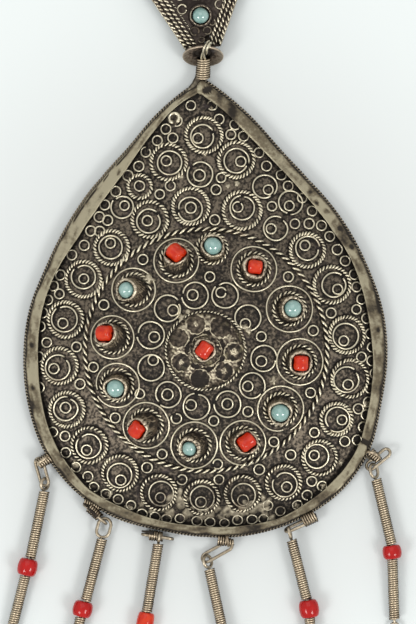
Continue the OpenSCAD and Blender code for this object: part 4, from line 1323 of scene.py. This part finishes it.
# %% Loop
# Middle line of the strands, from the stem over the washer's edge and down into the head's hole
ARCH = [
    (-0.75, 72.6, 4.7), (-0.6, 73.5, 6.4), (-0.2, 74.8, 9.2), (0.25, 75.7, 10.2), (0.75, 76.5, 9.4),
    (0.8, 77.2, 7.2), (0.5, 77.6, 5.0), (0.3, 77.8, 3.6)
]
OUTWARDS = np.array([0.0, -0.5, 1.0])
strands, twist = 3, 2.4 * math.pi
loop = Tray()
bow = even(np.array(ARCH), 60)
for _ in range(6):
    bow[1:-1] = (bow[:-2] + 2 * bow[1:-1] + bow[2:]) / 4
_, side, over = frames(bow, OUTWARDS + 0 * bow, False)
along_bow = np.linspace(0, 1, len(bow))
fades = np.clip((0.86 - along_bow) / 0.25, 0, 1)[:, None]
for strand in range(strands):
    p = (strand * TURN / strands + twist * along_bow)[:, None]
    path = bow + 0.50 * (np.cos(p) * side + np.sin(p) * over)
    mark = (0.35 + 0.65 * np.sin(section(8))[None]) * fades
    sweep(loop, path, OUTWARDS, 0.66, 0.66, False, 8, np.clip(mark, 0, 1))
loop.piece("hanger_loop", WIRE, "silver", "hanger")

# %% Washer
# Radius, height and worn mark of its closed profile
DISH = [
    (1.98, 0.95, 0.1), (2.6, 0.85, 0.25), (3.2, 0.82, 0.45), (4.2, 0.3, 0.75), (4.9, -0.15, 0.85),
    (5.1, -0.12, 0.9), (5.15, 0.1, 0.7), (5.0, 0.42, 0.35), (4.3, 0.95, 0.4), (3.4, 1.45, 0.6),
    (2.7, 1.52, 0.5), (2.0, 1.35, 0.2)
]
washer_at, washer_way = (-0.75, 73.4, 4.8), (0, 0.89, -0.45)
washer = Tray()
lathe(washer, washer_at, washer_way, [d[:2] for d in DISH], 72, [d[2] for d in DISH])
# A dark disc fills its hole: painted shade, where the table would show through
lathe(washer, washer_at, washer_way, [(0.05, 1.3), (2.05, 1.3), (2.05, 1.0), (0.05, 1.0)], 48, 0.0)
washer.piece("washer", BRONZE, "bronze", "collar_disc")

# %% [markdown]
# ## The head
# Only the tip of the triangular head shows in the picture. Its dark sheet keeps its solid. Three
# twisted wires run along each side, and a thin fourth one along the left. Small rings fill the
# middle, and stones sit in the corners.

# %% Head frame
HEAD_FOOT = np.array([-0.75, 75.5])
LEAN = math.radians(7)
HEAD_FACE = 4.3
HEAD_SLOPE = math.radians(26.7)
HEAD_H = 44.0
HEAD_TIP_HALF = 4.5


def on_head(xy, lift=0.0):
    """Points on the head's face from its own x and y, with y up from its tip."""
    xy = np.asarray(xy, float)
    x = HEAD_FOOT[0] + xy[..., 0] * math.cos(LEAN) - xy[..., 1] * math.sin(LEAN)
    y = HEAD_FOOT[1] + xy[..., 0] * math.sin(LEAN) + xy[..., 1] * math.cos(LEAN)
    return np.stack([x, y, HEAD_FACE + lift + 0 * x], -1)


def head_half(y):
    """Half the head's width at that height."""
    return HEAD_TIP_HALF + y * math.tan(HEAD_SLOPE)


def head_line(x_low, y_low, x_high, y_high, lift):
    """A straight line of points across the head's face."""
    return on_head(np.linspace([x_low, y_low], [x_high, y_high], 30), lift)


# %% Ropes and edges of the head
# Thickness, pitch, foot and lift of the three wires along each side, and of the thin fourth one
THICK_WIRE = (1.08, 1.17, 0.5, 0.2)
THIN_WIRE = (0.45, 0.85, 4.5, 0.0)
ROW_STEP = 1.12
ROPE_TOP, SIDE_LONG = 43.2, 45
head_ropes = Tray()
edges = Tray()
for row in range(4):
    thick, pitch, low, lift = THICK_WIRE if row < 3 else THIN_WIRE
    inset = (0.60 + row * ROW_STEP) / math.cos(HEAD_SLOPE)
    for side in (-1, 1) if row < 3 else (-1,):
        x_low, x_high = side * (head_half(low) - inset), side * (head_half(ROPE_TOP) - inset)
        line = head_line(x_low, low, x_high, ROPE_TOP, lift)
        rope(head_ropes, line, UP, thick, SIDE_LONG / pitch, False, low=0.10, patchy=0.08)
    # The thick ones have a bar across the head's top too
    if row < 3:
        y = HEAD_H - 0.7 - row * ROW_STEP
        half = head_half(y) - 1.6 - row * 1.4
        rope(head_ropes, head_line(-half, y, half, y, lift), UP, thick, 2 * half / pitch, False)
for side in (-1, 1):
    line = head_line(side * (head_half(0) - 0.12), 0.1, side * (head_half(43.9) - 0.12), 43.9, -0.2)
    sweep(edges, line, UP, 0.24, 1.3, False, 8)
# A dark disc fills the hole at the tip: painted shade, where the table would show through
lathe(head_ropes, (0.0, 78.25, 3.7), UP, [(0.05, -0.2), (0.95, -0.2), (0.95, 0.2), (0.05, 0.2)], 24, 0.0)
head_ropes.piece("head_ropes", ROPE, "silver")


# %% Rings on the head
# x, y, radius and gap of the rings that show, then of those past the picture's edge
HEAD_RINGS = [
    (-4.0, 10.3, 1.4, 0), (5.5, 10.4, 1.4, 60),
    (-4.2, 13.6, 1.2, None), (4.3, 14.2, 1.2, None), (0, 14.6, 2.6, 70), (0, 14.6, 1.2, None),
    (-5.6, 19.4, 2.7, 120), (-5.6, 19.0, 1.2, None), (5.6, 19.4, 2.7, 30), (5.9, 19.8, 1.2, None),
    (0, 19.4, 1.3, None), (-8.8, 25.6, 2.7, None), (-8.5, 25.9, 1.2, None), (8.8, 25.6, 2.7, 0),
    (8.8, 25.3, 1.2, None), (-6.4, 32.4, 2.8, 50), (-6.7, 32.2, 1.2, None), (6.4, 32.4, 2.8, None),
    (6.2, 32.8, 1.2, None), (-12.6, 32.2, 1.9, None), (12.6, 32.2, 1.9, 90), (0, 33.6, 1.4, None),
    (-11.6, 37.9, 2.2, None), (11.6, 37.9, 2.2, None), (0, 38.2, 2.4, 10), (0, 38.2, 1.1, None),
    (-5.6, 38.0, 1.5, None), (5.6, 38.0, 1.5, None)
]
# Between the stone and the tip they have gone dark
DARK_RINGS = [(-0.1, 2.1, 0.95, 150), (1.6, 4.3, 1.2, 210), (-1.5, 4.5, 1.3, 300), (3.1, 6.2, 1.0, 60)]


def head_ring(tray, x, y, radius, gap=None, shine=1.0):
    """A plain ring of that outer radius, in the head's own millimetres. A low shine leaves it dark."""
    wide, high, sides = 0.5, 0.8, 6
    count = max(18, int(radius * 14))
    a = np.arange(count) * 360 / count if gap is None else gap + 15 + np.linspace(0, 330, count)
    r = (radius - wide / 2) * (1.0 + wobble(full_turn(count), 0.012, (2, 3, 4), falling=True))
    path = on_head(np.array([x, y]) + r[:, None] * heading(np.radians(a)), 0.15)
    sweep(tray, path, UP, wide, high, gap is None, sides, shine * top_worn(sides))


for ring in HEAD_RINGS:
    head_ring(edges, *ring, 0.85)
for ring in DARK_RINGS:
    head_ring(edges, *ring, 0.62)

# %% Stones on the head
HEAD_STONES = [
    ("turquoise", 0.4, 8.1), ("turquoise", -18.2, 38.6), ("turquoise", 18.2, 38.6), ("coral", 0, 27)
]
HEAD_STONE_D = 4
head_collars = Tray()
for n, (kind, x, y) in enumerate(HEAD_STONES, 1):
    # The first one, at the tip, has no room for a ring
    if n > 1:
        head_ring(edges, x, y, 4.6)
    seat = on_head([x, y], -0.1)
    collar(head_collars, seat, seat + 2.5 * UP, 2.52, mouth_of(4.5))
    top = seat + 2.35 * UP
    stone = Tray()
    if kind == "coral":
        coral_bead(stone, top + 0.4 * UP, UP, HEAD_STONE_D, 20)
    else:
        cabochon(stone, top, UP, HEAD_STONE_D)
    stone.piece("head_%s_%d" % (kind, n), CORAL if kind == "coral" else TURQUOISE, kind, "head_stone_%d" % n)
edges.piece("head_rings", WIRE, "silver")
head_collars.piece("head_bezels", COLLAR, "silver")


# %% [markdown]
# ## Solids that stay
# Links, core wires, the head's sheet, the pin and the back sheet have the right shape already. They
# carry no mark of wear, so their paints take wear from noise alone, and painted shade from the way
# each face turns.

# %% Paint for plain solids
def plain_silver(name, dark, middle, pale, rough):
    """Tarnished silver for a solid: rubbed by noise, stained in spots, and with painted shade where it faces
    down or sideways.
    """
    paint, start, shader = new_paint(name, {})
    broad = start.noise(6.0, 4.0)
    fine = start.noise(0.8, 4.0, 0.4)
    rubbed = (broad * 0.6 + fine * 0.4).between(0.36, 0.64)
    spots = start.noise(1.6, 3.0, 0.8).between(0.60, 0.75)
    colour = (spots * 0.7).blend(rubbed.blend(middle, pale), dark)
    # Painted shade: the colour goes dark as the normal turns away from straight up
    facing_shade = {0: start.geometry("Normal"), 1: (0.0, 0.0, 1.0)}
    upward = start.node("ShaderNodeVectorMath", {"operation": "DOT_PRODUCT"}, facing_shade, "Value")
    feed(shader, paint, {
        "Base Color": upward.between(-0.1, 0.8).blend(dark, colour),
        "Metallic": 0.9 - spots * 0.3,
        "Roughness": rough + 0.12 - rubbed * 0.12 + (fine - 0.5) * 0.15,
        "Normal": start.bump(fine, 0.03),
    })
    return paint


LINK = plain_silver("link_silver", (0.085, 0.065, 0.045), (0.32, 0.265, 0.19), (0.57, 0.50, 0.385), 0.28)
BACK = plain_silver("back_silver", (0.06, 0.05, 0.045), (0.20, 0.18, 0.155), (0.38, 0.355, 0.31), 0.42)
DARK = plain_silver("head_dark", (0.012, 0.009, 0.008), (0.034, 0.027, 0.024), (0.100, 0.080, 0.068), 0.45)
kept = {"head_plate": DARK, "back_plate": BACK, "back_pin": LINK}
for n in range(1, len(LOOPS) + 1):
    kept["link_%d" % n] = LINK
    kept["wire_%d" % n] = LINK
for name, paint in kept.items():
    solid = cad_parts[name]
    solid.data.materials.clear()
    solid.data.materials.append(paint)
print("solids kept:", len(kept))

# %% [markdown]
# ## The table
# A sheet of pale paper, a little whiter away from the brooch, where more light falls on it.

# %% Floor
floor_half = 1.6
floor_mesh = bpy.data.meshes.new("floor")
corners = [(-1, -1), (1, -1), (1, 1), (-1, 1)]
floor_mesh.from_pydata([(x * floor_half, y * floor_half, 0) for x, y in corners], [], [(0, 1, 2, 3)])
floor = bpy.data.objects.new("floor", floor_mesh)
floor.location.z = -0.1 * MM
bpy.context.scene.collection.objects.link(floor)
paper, start, shader = new_paint("pale_paper", {"Roughness": 0.85, "Specular IOR Level": 0.25})
from_middle = {0: start.geometry("Position"), 1: (0.0, 0.0, 0.0)}
away = start.node("ShaderNodeVectorMath", {"operation": "DISTANCE"}, from_middle, "Value")
shade = away.between(0.045, 0.105).blend((0.622, 0.655, 0.662), (0.715, 0.768, 0.778))
feed(shader, paper, {"Base Color": shade})
floor_mesh.materials.append(paper)

# %% Updating the scene
bpy.context.view_layer.update()
